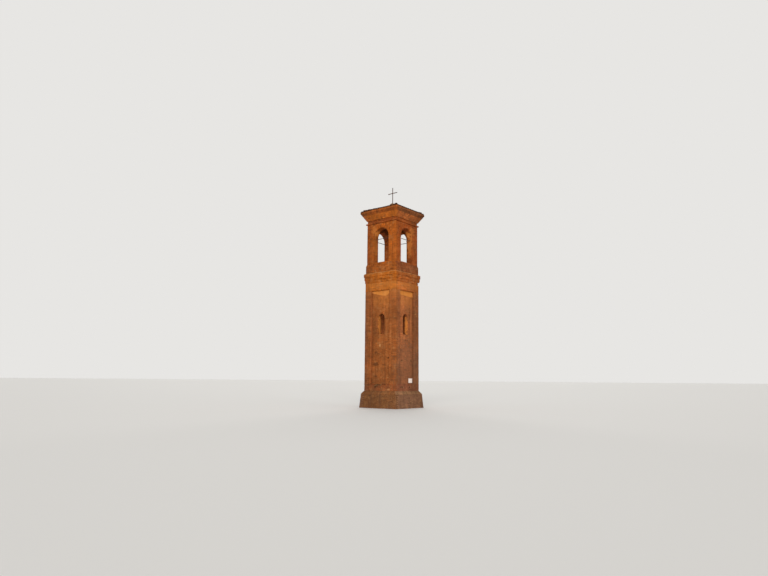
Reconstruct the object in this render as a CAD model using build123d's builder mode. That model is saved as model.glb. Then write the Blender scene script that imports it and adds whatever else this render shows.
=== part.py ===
"""A brick bell tower: battered plinth, panelled shaft, open bell chamber, corbelled cornice, tiled roof and cross.

Millimetres, +Z up. The origin is on the ground, at the middle of the foot. The front looks along -Y and the right
side along +X. Each side of the tower is one outline or one wall, made at the front and turned about the axis.
"""
from build123d import *
import math
import os

os.makedirs("parts", exist_ok=True)

# Brickwork
course = 70                     # one brick and its bed joint
half_brick = 145                # half a brick's length and its joint

# Levels of the courses, from the ground
batter_top = 13 * course
plinth_slope_top = 16 * course
base_band_top = 22 * course
panel_top = 111 * course
frieze_top = 119 * course
string_top = 128 * course
weathering_rise = 70
pedestal_top = 136 * course
belfry_bed = 138 * course
springing = 164 * course
belfry_top = 178 * course
belt_height = course
frieze_band_top = 182 * course

# Plan, measured out from the axis to the face
foot_half = 1525
batter_half = 1453
shaft_half = 1295
corner_width = 510
string_half = 1385
string_steps = 3
pedestal_half = 1284
belfry_half = 1235
belfry_wall = 450
belt_half = 1312
frieze_band_half = 1222

# Slit windows in the shaft
slit_width = 560
slit_sill = 69 * course
slit_springing = 5930
slit_reveal = 2 * half_brick
splay_side = 90
splay_drop = 120

# Bell chamber
arch_width = 1300
impost_out = 25
impost_height = course
sill_height = course
sill_nose = 20
sill_fall = 18
floor_thickness = 2 * course
floor_bearing = 100
tie_bar = 30
tie_inset = 200
tie_drop = 100

# Cornice and roof
corbel_courses = 9
fascia_courses = 2
corbel_step = 43
cornice_half = 1590
tile_overhang = 20
roof_pitch = 18.5
tile_bed = 75
hip_tile_radius = 85
cap_half = 150
cap_skirt = 120
cap_height = 155
cap_top_half = 55

# Iron cross
mast_rise = 1140
bar_drop = 404
cross_bar_length = 800
iron_width = 50
iron_thickness = 20
mast_socket = 110

# Notice board on the right side
board_width = 420
board_height = 297
board_thickness = 18
board_from_pier = 45
board_centre_height = 1790

# Bricks lost from the masonry leave a pocket as deep as a brick is wide
lost_depth = 115

# What follows from the sizes above
panel_depth = half_brick
panel_half = shaft_half - corner_width
panel_plane = shaft_half - panel_depth
shaft_inner = panel_half
belfry_inner = belfry_half - belfry_wall
arch_half = arch_width / 2
board_centre_along = panel_half - board_from_pier - board_width / 2
cornice_top = frieze_band_top + corbel_courses * course
eaves_half = cornice_half + tile_overhang
slope_rise = math.tan(math.radians(roof_pitch))
roof_edge_level = cornice_top - tile_overhang * slope_rise
tile_top_level = roof_edge_level + tile_bed
apex_level = tile_top_level + eaves_half * slope_rise
cap_top = apex_level + cap_height
mast_top = cap_top + mast_rise
bar_height = mast_top - bar_drop
step_out = (string_half - shaft_half) / string_steps

SIDES = {"front": 0, "right": 90, "back": 180, "left": 270}
CORNERS = {"front_right": 0, "back_right": 90, "back_left": 180, "front_left": 270}


def face_pocket(face, start, bricks, first_course, courses=1):
    """A pocket in a wall face at the front, from where it starts along the face: its plan and its two levels."""
    end = start + bricks * half_brick
    return (start, end, -face, lost_depth - face), first_course * course, (first_course + courses) * course


def corner_pocket(face, towards_x, reach, first_course, courses=1):
    """A pocket at one corner of a front length, cut as far in from both faces."""
    start, end = sorted((towards_x * (face - reach), towards_x * face))
    return (start, end, -face, reach - face), first_course * course, (first_course + courses) * course


# The lost bricks, by the piece they are missing from, each piece as it stands at the front
ledge_start = -3 * half_brick
corner_reach = 3 * half_brick / 2
jamb_course = 150
near_jamb = (belfry_inner, belfry_inner + half_brick, -arch_half - lost_depth, -arch_half)
far_jamb = (arch_half, arch_half + lost_depth, -belfry_inner - half_brick, -belfry_inner)
jamb_levels = (jamb_course * course, (jamb_course + 1) * course)
LOST_BRICKS = {
    "plinth_front": [
        face_pocket(shaft_half, ledge_start, 4, 21),
        face_pocket(shaft_half, ledge_start, 2, 20),
        face_pocket(shaft_half, ledge_start, 1, 19),
    ],
    "plinth_right": [
        face_pocket(shaft_half, -4 * half_brick, 1, 19),
        face_pocket(shaft_half, 3 * half_brick / 2, 1, 19),
    ],
    "shaft_panel_front": [face_pocket(panel_plane, 4 * half_brick, 1, 46)],
    "shaft_panel_right": [
        face_pocket(panel_plane, -3 * half_brick, 1, 44),
        face_pocket(panel_plane, 4 * half_brick, 1, 44),
    ],
    "string_course_right": [
        corner_pocket(shaft_half + step_out, 1, corner_reach, 119, 2),
        corner_pocket(shaft_half, 1, half_brick, 118),
    ],
    "string_course_back": [
        corner_pocket(shaft_half + step_out, -1, corner_reach, 119, 2),
        corner_pocket(shaft_half, -1, half_brick, 118),
    ],
    "belfry_pier_front_left": [(near_jamb, *jamb_levels)],
    "belfry_pier_back_right": [(far_jamb, *jamb_levels)],
}


def save(part, name):
    """Label a finished piece and write its file."""
    part.label = name
    export_step(part, f"parts/{name}.step")


def save_round(part, name, places):
    """Turn a piece made at the front to each of its places round the axis, less the bricks lost there."""
    for place, turn in places.items():
        node = f"{name}_{place}"
        with BuildPart() as turned:
            add(part, rotation=(0, 0, turn))
            for (x_low, x_high, y_low, y_high), bottom, top in LOST_BRICKS.get(node, []):
                with BuildSketch(Plane.XY.offset(bottom).rotated((0, 0, turn))):
                    with Locations(((x_low + x_high) / 2, (y_low + y_high) / 2)):
                        Rectangle(x_high - x_low, y_high - y_low)
                extrude(amount=top - bottom, mode=Mode.SUBTRACT)
        save(turned.part, node)


def mitre(towards_x):
    """The upright plane through the axis that cuts a front length at one of its corners."""
    return Plane(origin=(0, 0, 0), x_dir=(0, 0, 1), z_dir=(towards_x, 1, 0))


def mitred_length(outline):
    """One side of a square ring of masonry, from its section: a list of (out from the axis, height)."""
    reach = max(out for out, height in outline)
    with BuildPart() as length:
        with BuildSketch(Plane.YZ):
            with BuildLine():
                Polyline(*[(-out, height) for out, height in outline], close=True)
            make_face()
        extrude(amount=reach, both=True)
        split(bisect_by=mitre(1), keep=Keep.BOTTOM)
        split(bisect_by=mitre(-1), keep=Keep.BOTTOM)
    return length.part


def round_headed(plane, width, sill, spring):
    """The outline of a round-headed opening, upright on a plane that faces the front."""
    half = width / 2
    with BuildSketch(plane) as outline:
        with BuildLine():
            Polyline((-half, spring), (-half, sill), (half, sill), (half, spring))
            ThreePointArc((half, spring), (0, spring + half), (-half, spring))
        make_face()
    return outline.sketch


def front_plane(out):
    """The plane of a wall face at the front, so far out from the axis."""
    return Plane.XZ.offset(out)


# Plinth with its batter, its sloped top and the plain band that the panels stand on
plinth_outline = [
    (shaft_inner, 0),
    (foot_half, 0),
    (batter_half, batter_top),
    (shaft_half, plinth_slope_top),
    (shaft_half, base_band_top),
    (shaft_inner, base_band_top),
]
save_round(mitred_length(plinth_outline), "plinth", SIDES)

# Corner piers of the shaft
with BuildPart() as shaft_pier:
    with BuildSketch(Plane.XY.offset(base_band_top)):
        with Locations((shaft_half, -shaft_half)):
            Rectangle(corner_width, corner_width, align=(Align.MAX, Align.MIN))
    extrude(amount=panel_top - base_band_top)
save_round(shaft_pier.part, "shaft_pier", CORNERS)

# Sunk panels between the piers. Three have a slit window that splays to the inside, and the left one is blind
splay_start = front_plane(panel_plane - slit_reveal)
splay_end = front_plane(shaft_inner)
slit_narrow = round_headed(splay_start, slit_width, slit_sill, slit_springing)
slit_wide = round_headed(splay_end, slit_width + 2 * splay_side, slit_sill - splay_drop, slit_springing)
slit_outside = round_headed(front_plane(panel_plane), slit_width, slit_sill, slit_springing)

with BuildPart() as shaft_panel:
    with BuildSketch(Plane.XY.offset(base_band_top)):
        with Locations((0, -panel_plane)):
            Rectangle(2 * panel_half, panel_plane - shaft_inner, align=(Align.CENTER, Align.MIN))
    extrude(amount=panel_top - base_band_top)
    blind_panel = shaft_panel.part
    extrude(slit_outside, amount=-slit_reveal, mode=Mode.SUBTRACT)
    loft(sections=[slit_narrow, slit_wide], mode=Mode.SUBTRACT)
pierced = {side: turn for side, turn in SIDES.items() if side != "left"}
save_round(shaft_panel.part, "shaft_panel", pierced)
save_round(blind_panel, "shaft_panel", {"left": SIDES["left"]})

# Frieze and stepped string course, with a rebate inside that carries the floor
string_outline = [(shaft_inner, panel_top), (shaft_half, panel_top), (shaft_half, frieze_top)]
step_up = (string_top - frieze_top) / string_steps
for step in range(string_steps):
    step_face = shaft_half + (step + 1) * step_out
    string_outline.append((step_face, frieze_top + step * step_up))
    string_outline.append((step_face, frieze_top + (step + 1) * step_up))
rebate_half = belfry_inner + floor_bearing
floor_underside = string_top - floor_thickness
string_outline += [
    (pedestal_half, string_top + weathering_rise),
    (pedestal_half, string_top),
    (rebate_half, string_top),
    (rebate_half, floor_underside),
    (shaft_inner, floor_underside),
]
save_round(mitred_length(string_outline), "string_course", SIDES)

# Floor of the bell chamber, let into the rebate
with BuildPart() as chamber_floor:
    with BuildSketch(Plane.XY.offset(floor_underside)):
        Rectangle(2 * rebate_half, 2 * rebate_half)
    extrude(amount=floor_thickness)
save(chamber_floor.part, "bell_chamber_floor")

# Parapets: the pedestal that runs round the foot of the bell chamber
parapet_outline = [
    (belfry_inner, string_top),
    (pedestal_half, string_top),
    (pedestal_half, pedestal_top),
    (belfry_half, belfry_bed),
    (belfry_inner, belfry_bed),
]
save_round(mitred_length(parapet_outline), "belfry_parapet", SIDES)

# Sills of the four arches, in one set
sill_top = belfry_bed + sill_height
with BuildPart() as belfry_sills:
    with BuildSketch(Plane.YZ):
        with BuildLine():
            Polyline(
                (-belfry_inner, belfry_bed),
                (-belfry_half - sill_nose, belfry_bed),
                (-belfry_half - sill_nose, sill_top - sill_fall),
                (-belfry_inner, sill_top),
                close=True,
            )
        make_face()
    extrude(amount=arch_half, both=True)
    front_sill = belfry_sills.part
    for turn in (90, 180, 270):
        add(front_sill, rotation=(0, 0, turn))
save(belfry_sills.part, "belfry_sills")

# Corner piers of the bell chamber, an L in plan, each with an impost on its two jambs
with BuildPart() as belfry_pier:
    with BuildSketch(Plane.XY.offset(belfry_bed)):
        with BuildLine():
            Polyline(
                (arch_half, -belfry_half),
                (belfry_half, -belfry_half),
                (belfry_half, -arch_half),
                (belfry_inner, -arch_half),
                (belfry_inner, -belfry_inner),
                (arch_half, -belfry_inner),
                close=True,
            )
        make_face()
    extrude(amount=springing - belfry_bed)
    with BuildSketch(Plane.XY.offset(springing - impost_height)):
        with Locations((arch_half, -belfry_half)):
            Rectangle(impost_out, belfry_wall, align=(Align.MAX, Align.MIN))
        with Locations((belfry_half, -arch_half)):
            Rectangle(belfry_wall, impost_out, align=(Align.MAX, Align.MIN))
    extrude(amount=impost_height)
save_round(belfry_pier.part, "belfry_pier", CORNERS)

# Arch walls over the piers
arch_wall_outline = [
    (belfry_inner, springing),
    (belfry_half, springing),
    (belfry_half, belfry_top),
    (belfry_inner, belfry_top),
]
arch_wall_length = mitred_length(arch_wall_outline)
with BuildPart() as arch_wall:
    add(arch_wall_length)
    with BuildSketch(front_plane(belfry_half)):
        with Locations((0, springing)):
            Circle(arch_half)
    extrude(amount=-belfry_wall, mode=Mode.SUBTRACT)
save_round(arch_wall.part, "arch_wall", SIDES)

# Iron ties across the arches, in one set
tie_level = springing - tie_drop
tie_out = belfry_half - tie_inset
with BuildPart() as arch_ties:
    with BuildSketch(Plane.YZ):
        with Locations((-tie_out, tie_level)):
            Rectangle(tie_bar, tie_bar)
    extrude(amount=arch_half, both=True)
    front_tie = arch_ties.part
    for turn in (90, 180, 270):
        add(front_tie, rotation=(0, 0, turn))
save(arch_ties.part, "arch_ties")

# Cornice: a thin belt, a plain band, corbelled courses under a fascia, and a top made up to the roof's slope
cornice_outline = [
    (belfry_inner, belfry_top),
    (belt_half, belfry_top),
    (belt_half, belfry_top + belt_height),
    (frieze_band_half, belfry_top + belt_height),
    (frieze_band_half, frieze_band_top),
]
stepped_courses = corbel_courses - fascia_courses
for corbel in range(stepped_courses):
    corbel_face = cornice_half - (stepped_courses - corbel) * corbel_step
    corbel_level = frieze_band_top + corbel * course
    cornice_outline.append((corbel_face, corbel_level))
    cornice_outline.append((corbel_face, corbel_level + course))
cornice_outline.append((cornice_half, cornice_top - fascia_courses * course))
cornice_outline.append((cornice_half, cornice_top))
cornice_outline.append((belfry_inner, cornice_top + (cornice_half - belfry_inner) * slope_rise))
save_round(mitred_length(cornice_outline), "cornice", SIDES)

# Roof slopes, one to a side, meeting on the hips
underside_apex = apex_level - tile_bed
slope_outline = [
    (eaves_half, roof_edge_level),
    (eaves_half, tile_top_level),
    (0, apex_level),
    (0, underside_apex),
]
save_round(mitred_length(slope_outline), "roof_slope", SIDES)

# The whole form of the roof, which the hip tiles are cut to
roof_outline = [
    (0, roof_edge_level),
    (eaves_half, roof_edge_level),
    (eaves_half, tile_top_level),
    (0, apex_level),
]
roof_quarter = mitred_length(roof_outline)
with BuildPart() as roof_form:
    for turn in SIDES.values():
        add(roof_quarter, rotation=(0, 0, turn))

# Half-round hip tiles on the four hips, from the eaves to the cap
hip_foot = Vector(eaves_half, -eaves_half, tile_top_level)
hip_head = Vector(0, 0, apex_level)
hip_run = hip_head - hip_foot
with BuildPart() as hip_tiles:
    with BuildSketch(Plane(origin=hip_foot, z_dir=hip_run)):
        Circle(hip_tile_radius)
    extrude(amount=hip_run.length)
    with BuildSketch(Plane.XY.offset(roof_edge_level)):
        Rectangle(2 * eaves_half, 2 * eaves_half)
        Rectangle(2 * cap_half, 2 * cap_half, mode=Mode.SUBTRACT)
    extrude(amount=mast_top - roof_edge_level, mode=Mode.INTERSECT)
    add(roof_form.part, mode=Mode.SUBTRACT)
    front_hip = hip_tiles.part
    for turn in (90, 180, 270):
        add(front_hip, rotation=(0, 0, turn))
save(hip_tiles.part, "hip_tiles")

# Cap over the meeting of the slopes: a square block with a sloped top and a socket for the mast
cap_foot = apex_level - cap_half * slope_rise
cap_outline = [
    (0, apex_level),
    (cap_half, cap_foot),
    (cap_half, cap_foot + cap_skirt),
    (cap_top_half, cap_top),
    (0, cap_top),
]
cap_quarter = mitred_length(cap_outline)
with BuildPart() as roof_cap:
    for turn in SIDES.values():
        add(cap_quarter, rotation=(0, 0, turn))
    with BuildSketch(Plane.XY.offset(cap_top)):
        Rectangle(iron_width, iron_thickness)
    extrude(amount=-mast_socket, mode=Mode.SUBTRACT)
save(roof_cap.part, "roof_cap")

# Cross of flat iron: the mast and the bar are halved into each other
mast_foot = cap_top - mast_socket
halving = iron_thickness / 2
with BuildPart() as cross_mast:
    with BuildSketch(Plane.XY.offset(mast_foot)):
        Rectangle(iron_width, iron_thickness)
    extrude(amount=mast_top - mast_foot)
    with BuildSketch(front_plane(halving)):
        with Locations((0, bar_height)):
            Rectangle(iron_width, iron_width)
    extrude(amount=-halving, mode=Mode.SUBTRACT)
save(cross_mast.part, "cross_mast")

with BuildPart() as cross_bar:
    with BuildSketch(front_plane(halving)):
        with Locations((0, bar_height)):
            Rectangle(cross_bar_length, iron_width)
    extrude(amount=-iron_thickness)
    with BuildSketch(front_plane(0)):
        with Locations((0, bar_height)):
            Rectangle(iron_width, iron_width)
    extrude(amount=-halving, mode=Mode.SUBTRACT)
save(cross_bar.part, "cross_bar")

# Blank notice board on the right panel
with BuildPart() as notice_board:
    with BuildSketch(Plane.YZ.offset(panel_plane)):
        with Locations((board_centre_along, board_centre_height)):
            Rectangle(board_width, board_height)
    extrude(amount=board_thickness)
save(notice_board.part, "notice_board")
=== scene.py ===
"""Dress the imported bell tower: bricks, arch rings, clay tiles, plaster remains, rusted iron and a bare board.

Metres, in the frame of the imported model: +Z up, the front of the tower along -Y, its right side along +X.
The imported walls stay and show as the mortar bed. Brick faces stand a few millimetres proud of them.
"""

import logging
import math
from dataclasses import dataclass, field
from enum import Enum
from itertools import groupby
from typing import Iterable, Sequence

import bmesh
import bpy
import numpy as np
from mathutils import Matrix, Vector, noise
from mathutils.bvhtree import BVHTree


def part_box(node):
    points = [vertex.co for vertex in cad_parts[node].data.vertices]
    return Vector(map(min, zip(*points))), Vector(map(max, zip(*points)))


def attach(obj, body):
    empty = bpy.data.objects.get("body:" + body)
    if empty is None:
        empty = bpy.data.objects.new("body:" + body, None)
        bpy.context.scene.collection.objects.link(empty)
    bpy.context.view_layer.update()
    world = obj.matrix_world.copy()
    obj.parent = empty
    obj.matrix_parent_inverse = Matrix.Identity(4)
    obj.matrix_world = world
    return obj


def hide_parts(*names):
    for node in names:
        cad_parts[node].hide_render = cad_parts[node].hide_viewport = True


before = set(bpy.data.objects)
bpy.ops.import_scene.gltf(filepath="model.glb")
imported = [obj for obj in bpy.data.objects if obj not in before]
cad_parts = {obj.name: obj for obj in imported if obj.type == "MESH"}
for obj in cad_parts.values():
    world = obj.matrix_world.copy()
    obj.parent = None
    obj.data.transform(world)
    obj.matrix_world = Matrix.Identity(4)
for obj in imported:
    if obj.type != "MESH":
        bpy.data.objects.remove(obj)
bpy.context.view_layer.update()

log = logging.getLogger("bell_tower")

# Brickwork of the whole tower
COURSE = 0.070
HALF_BRICK = 0.145
JOINT = 0.010
PROUD = 0.007
RING_PROUD = PROUD + 0.003
BRICK_DEPTH = HALF_BRICK - JOINT
STRETCHER = 2 * HALF_BRICK - JOINT
ARRIS = 0.004
COPING_DEPTH = 0.060
COPING_WIDTH = 0.076
SHORTEST_BRICK = 0.040
SHORTEST_CUT = 0.004
THINNEST_LINING = 0.050
SLIVER = 0.020
UNDERSIDE_DROP = 0.003
TOP_RISE = 0.004
GROUND_GAP = 0.002
SLACK = 0.001

# The least length of the last brick in a row, in headers
LEAST_CLOSER = 0.4
LEAST_HEADER = 0.6

# Levels of the storeys, in courses from the ground
BATTER_TOP = 13
PLINTH_SLOPE_TOP = 16
BASE_BAND_TOP = 22
PANEL_TOP = 111
FRIEZE_TOP = 119
STRING_STEP = 3
STRING_TOP = 128
PEDESTAL_TOP = 136
BELFRY_BED = 138
SPRINGING = 164
BELFRY_TOP = 178
BELT_TOP = 179
BAND_TOP = 182
CORNICE_TOP = 191
FASCIA_COURSES = 2

Colour = tuple[float, float, float]
Pair = tuple[float, float]
Corners = tuple[Pair, Pair, Pair, Pair]
Triple = tuple[float, float, float]
Copies = tuple[np.ndarray, list[list[int]], np.ndarray]
Material = bpy.types.Material
Shape = bmesh.types.BMesh
Socket = bpy.types.NodeSocket
Sockets = bpy.types.bpy_prop_collection
Terms = dict[str | int, object]


def level(course: float) -> float:
    """The height of a course's bed over the ground."""
    return course * COURSE


def paint(colour: Colour) -> tuple[float, float, float, float]:
    """Turn a colour written as it looks into the linear colour that a shader takes.

    Args:
        colour: Red, green and blue, from 0 to 255.

    Returns:
        The linear colour, opaque.
    """
    shares = [value / 255 for value in colour]
    linear = [share / 12.92 if share <= 0.04045 else ((share + 0.055) / 1.055) ** 2.4 for share in shares]
    return (*linear, 1.0)


def shade(colour: Colour, factor: float) -> Colour:
    """A colour made darker or paler by a factor."""
    return tuple(min(255.0, value * factor) for value in colour)


def blend_colours(first: Colour, second: Colour, share: float) -> Colour:
    """A colour between two, by the second one's share."""
    return tuple(a + (b - a) * share for a, b in zip(first, second))


class Side(Enum):
    """The four sides of the tower, with the turn that brings the front to each."""

    FRONT = 0
    RIGHT = 90
    BACK = 180
    LEFT = 270

    @property
    def label(self) -> str:
        """The side's name as the nodes have it."""
        return self.name.lower()

    @property
    def turn(self) -> Matrix:
        """The rotation about the tower's axis that brings the front to this side."""
        return Matrix.Rotation(math.radians(self.value), 3, "Z")


@dataclass(frozen=True)
class Facing:
    """A flat stretch of wall: where its measures start, and its across, up and out directions."""

    origin: Vector
    across: Vector
    up: Vector
    out: Vector

    @classmethod
    def sloping(cls, side: Side, low: Pair, high: Pair) -> "Facing":
        """A face that runs up from one edge to another.

        Args:
            side: The side of the tower.
            low: The lower edge, as its distance out from the axis and its height.
            high: The upper edge, given the same way.

        Returns:
            The facing, whose up measure starts at the lower edge.
        """
        origin = side.turn @ Vector((0, -low[0], low[1]))
        across = side.turn @ Vector((1, 0, 0))
        up = side.turn @ Vector((0, low[0] - high[0], high[1] - low[1])).normalized()
        return cls(origin, across, up, across.cross(up))

    @classmethod
    def upright(cls, side: Side, half: float) -> "Facing":
        """An upright face so far out from the axis, whose up measure is the height over the ground."""
        return cls.sloping(side, (half, 0.0), (half, 1.0))

    def at(self, across: float, up: float, out: float = 0.0) -> Vector:
        """The point at the given measures."""
        return self.origin + across * self.across + up * self.up + out * self.out


class WallProbe:
    """Tells where a packed wall stands behind a face, so that no brick hangs over a pocket."""

    stand_off: float = 0.035
    tolerance: float = 0.02
    pitch: float = 0.012
    end_slack: float = 0.014

    def __init__(self, nodes: Iterable[bpy.types.Object]) -> None:
        """Gather the walls into one search tree.

        Args:
            nodes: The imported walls.
        """
        points: list[Vector] = []
        faces: list[list[int]] = []
        for node in nodes:
            start = len(points)
            points += [vertex.co.copy() for vertex in node.data.vertices]
            faces += [[start + index for index in face.vertices] for face in node.data.polygons]
        self.tree = BVHTree.FromPolygons(points, faces)

    def backed(self, facing: Facing, across: float, up: float) -> bool:
        """Whether a wall stands right behind this point of the face."""
        start = facing.at(across, up, self.stand_off)
        return self.tree.ray_cast(start, -facing.out, self.stand_off + self.tolerance)[0] is not None

    def longest(self, facing: Facing, left: float, right: float, up: float) -> Pair:
        """The longest backed stretch between two ends.

        Args:
            facing: The face that the stretch is on.
            left: The left end, across the face.
            right: The right end.
            up: The height of the stretch on the face.

        Returns:
            The stretch's ends, equal to each other where nothing is backed.
        """
        low, high = left + self.end_slack, right - self.end_slack
        count = max(3, int((high - low) / self.pitch))
        step = (high - low) / count
        held = [self.backed(facing, low + step * (index + 0.5), up) for index in range(count)]
        if all(held):
            return left, right
        first = last = start = 0
        for is_held, run in groupby(held):
            end = start + len(list(run))
            if is_held and end - start > last - first:
                first, last = start, end
            start = end
        if first == last:
            return left, left
        return left if first == 0 else low + first * step, right if last == count else low + last * step


@dataclass(frozen=True)
class Brick:
    """One brick: the four corners of its face, and how far its front and back lie out from the facing."""

    facing: Facing
    corners: Corners
    front: float
    back: float
    all_round: bool
    tone: float
    arris: float


def ease(shape: Shape, edges: Iterable[bmesh.types.BMEdge], width: float, segments: int = 1) -> None:
    """Bevel edges to an even width.

    Args:
        shape: The shape that they are in.
        edges: The edges.
        width: How wide the bevel is.
        segments: How many faces it has.
    """
    bmesh.ops.bevel(
        shape, geom=list(edges), offset=width, offset_type="OFFSET", affect="EDGES",
        segments=segments, profile=0.5, material=-1,
    )


def draw_out(shape: Shape, faces: Iterable[bmesh.types.BMFace], way: Sequence[float]) -> tuple[list, list]:
    """Extrude faces to a body.

    Args:
        shape: The shape that they are in.
        faces: The faces.
        way: How far they are drawn along each axis.

    Returns:
        The corners and the faces of the far end.
    """
    drawn = bmesh.ops.extrude_face_region(shape, geom=list(faces), use_keep_orig=True)["geom"]
    corners = [part for part in drawn if isinstance(part, bmesh.types.BMVert)]
    bmesh.ops.translate(shape, verts=corners, vec=way)
    return corners, [part for part in drawn if isinstance(part, bmesh.types.BMFace)]


def slab(outline: Iterable[Vector], way: Sequence[float]) -> tuple[Shape, list[bmesh.types.BMFace]]:
    """Make a closed body from its outline.

    Args:
        outline: The corners of its near face.
        way: How far that face is drawn along each axis.

    Returns:
        The body, and its far face in a list.
    """
    shape = bmesh.new()
    near = shape.faces.new([shape.verts.new(corner) for corner in outline])
    _, far = draw_out(shape, [near], way)
    bmesh.ops.recalc_face_normals(shape, faces=shape.faces)
    return shape, far


def mesh_of(name: str, shape: Shape) -> bpy.types.Mesh:
    """Turn a finished shape into a mesh.

    Args:
        name: The mesh's name.
        shape: The shape, which is freed.

    Returns:
        The mesh.
    """
    mesh = bpy.data.meshes.new(name)
    shape.to_mesh(mesh)
    shape.free()
    return mesh


class BrickPattern:
    """A box with bevelled edges, read as signs and insets so that it fits any brick."""

    inset_share: float = 0.2
    waver: float = 0.0008
    tilt: float = 0.0009
    ripple: float = 0.0005

    def __init__(self, all_round: bool) -> None:
        """Make the box with the bmesh operators and read it.

        Args:
            all_round: True to bevel all twelve edges, False for the four round the face.
        """
        shape = bmesh.new()
        bmesh.ops.create_cube(shape, size=2.0)
        chosen = [edge for edge in shape.edges if all_round or all(vertex.co.z > 0 for vertex in edge.verts)]
        ease(shape, chosen, self.inset_share)
        shape.verts.index_update()
        places = np.array([vertex.co for vertex in shape.verts])
        self.sign = np.sign(places)
        self.inset = (np.abs(places) < 1 - self.inset_share / 2).astype(float)
        self.faces = [[vertex.index for vertex in face.verts] for face in shape.faces]
        shape.free()

    def place(self, bricks: Sequence[Brick], jitter: np.random.Generator) -> np.ndarray:
        """Fit the pattern to each brick.

        Args:
            bricks: The bricks to place.
            jitter: The source of the small unevenness.

        Returns:
            The corners' places, as an array of bricks by corners by three.
        """
        corners = np.array([brick.corners for brick in bricks])
        measures = np.array([(brick.front, brick.back, brick.arris) for brick in bricks])
        front, back, arris = (measures[:, index, None] for index in range(3))
        right = (self.sign[:, 0] > 0).astype(float)[None, :, None]
        high = (self.sign[:, 1] > 0).astype(float)[None, :, None]
        low_left, low_right, high_left, high_right = (corners[:, index, None, :] for index in range(4))
        low_edge = low_right - low_left
        high_edge = high_right - high_left
        spot = (low_left + right * low_edge) * (1 - high) + (high_left + right * high_edge) * high
        run = low_edge * (1 - high) + high_edge * high
        rise = (high_left - low_left) * (1 - right) + (high_right - low_right) * right
        run, rise = (
            way / np.maximum(np.linalg.norm(way, axis=2, keepdims=True), 1e-9) for way in (run, rise)
        )
        pull = arris * self.sign[None, :, 0] * self.inset[None, :, 0]
        lift = arris * self.sign[None, :, 1] * self.inset[None, :, 1]
        spot = spot - run * pull[..., None] - rise * lift[..., None]
        is_front = self.sign[None, :, 2] > 0
        eased = arris * self.inset[None, :, 2]
        out = np.where(is_front, front - eased, back + eased)
        shape = out.shape
        spot = spot + jitter.normal(0, self.waver, (*shape, 2)) * is_front[..., None]
        tilt = jitter.normal(0, self.tilt, (shape[0], 1, 2)) * self.sign[None, :, :2]
        out = out + tilt.sum(axis=2) * is_front + jitter.normal(0, self.ripple, shape) * is_front
        facings = [brick.facing for brick in bricks]
        axes = zip(*((facing.origin, facing.across, facing.up, facing.out) for facing in facings))
        origin, across, up, outward = (np.array(axis)[:, None, :] for axis in axes)
        placed = origin + spot[..., :1] * across + spot[..., 1:] * up + out[..., None] * outward
        placed[..., 2] = np.maximum(placed[..., 2], GROUND_GAP)
        return placed


PATTERNS = {all_round: BrickPattern(all_round) for all_round in (False, True)}


def joined_mesh(name: str, parts: Sequence[Copies]) -> bpy.types.Mesh:
    """Join many small closed shapes into one mesh.

    Args:
        name: The mesh's name.
        parts: For each pattern its placed corners (copies, corners, 3), its faces and each copy's tone.

    Returns:
        The mesh, with the tone kept as an attribute of its points.
    """
    points, loops, totals, tones = [], [], [], []
    start = 0
    for places, faces, tone in parts:
        copies, corners = places.shape[:2]
        offsets = start + corners * np.arange(copies)
        flat = np.array([index for face in faces for index in face])
        points.append(places.reshape(-1, 3))
        tones.append(np.repeat(tone, corners))
        loops.append((offsets[:, None] + flat[None, :]).ravel())
        totals.append(np.tile([len(face) for face in faces], copies))
        start += copies * corners
    points, loops, totals, tones = (np.concatenate(gathered) for gathered in (points, loops, totals, tones))
    mesh = bpy.data.meshes.new(name)
    mesh.vertices.add(len(points))
    mesh.vertices.foreach_set("co", points.astype(np.float32).ravel())
    mesh.loops.add(len(loops))
    mesh.loops.foreach_set("vertex_index", loops.astype(np.int32))
    mesh.polygons.add(len(totals))
    starts = np.concatenate([[0], np.cumsum(totals)[:-1]])
    mesh.polygons.foreach_set("loop_start", starts.astype(np.int32))
    mesh.update(calc_edges=True)
    attribute = mesh.attributes.new("tone", "FLOAT", "POINT")
    attribute.data.foreach_set("value", tones.astype(np.float32))
    return mesh


def put(mesh: bpy.types.Mesh, material: Material, slot: str, *nodes: str) -> None:
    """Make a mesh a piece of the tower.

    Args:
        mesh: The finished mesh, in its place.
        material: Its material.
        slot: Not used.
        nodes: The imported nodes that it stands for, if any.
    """
    mesh.materials.append(material)
    piece = bpy.data.objects.new(mesh.name, mesh)
    bpy.context.scene.collection.objects.link(piece)
    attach(piece, "root")
    if nodes:
        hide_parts(*nodes)


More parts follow.
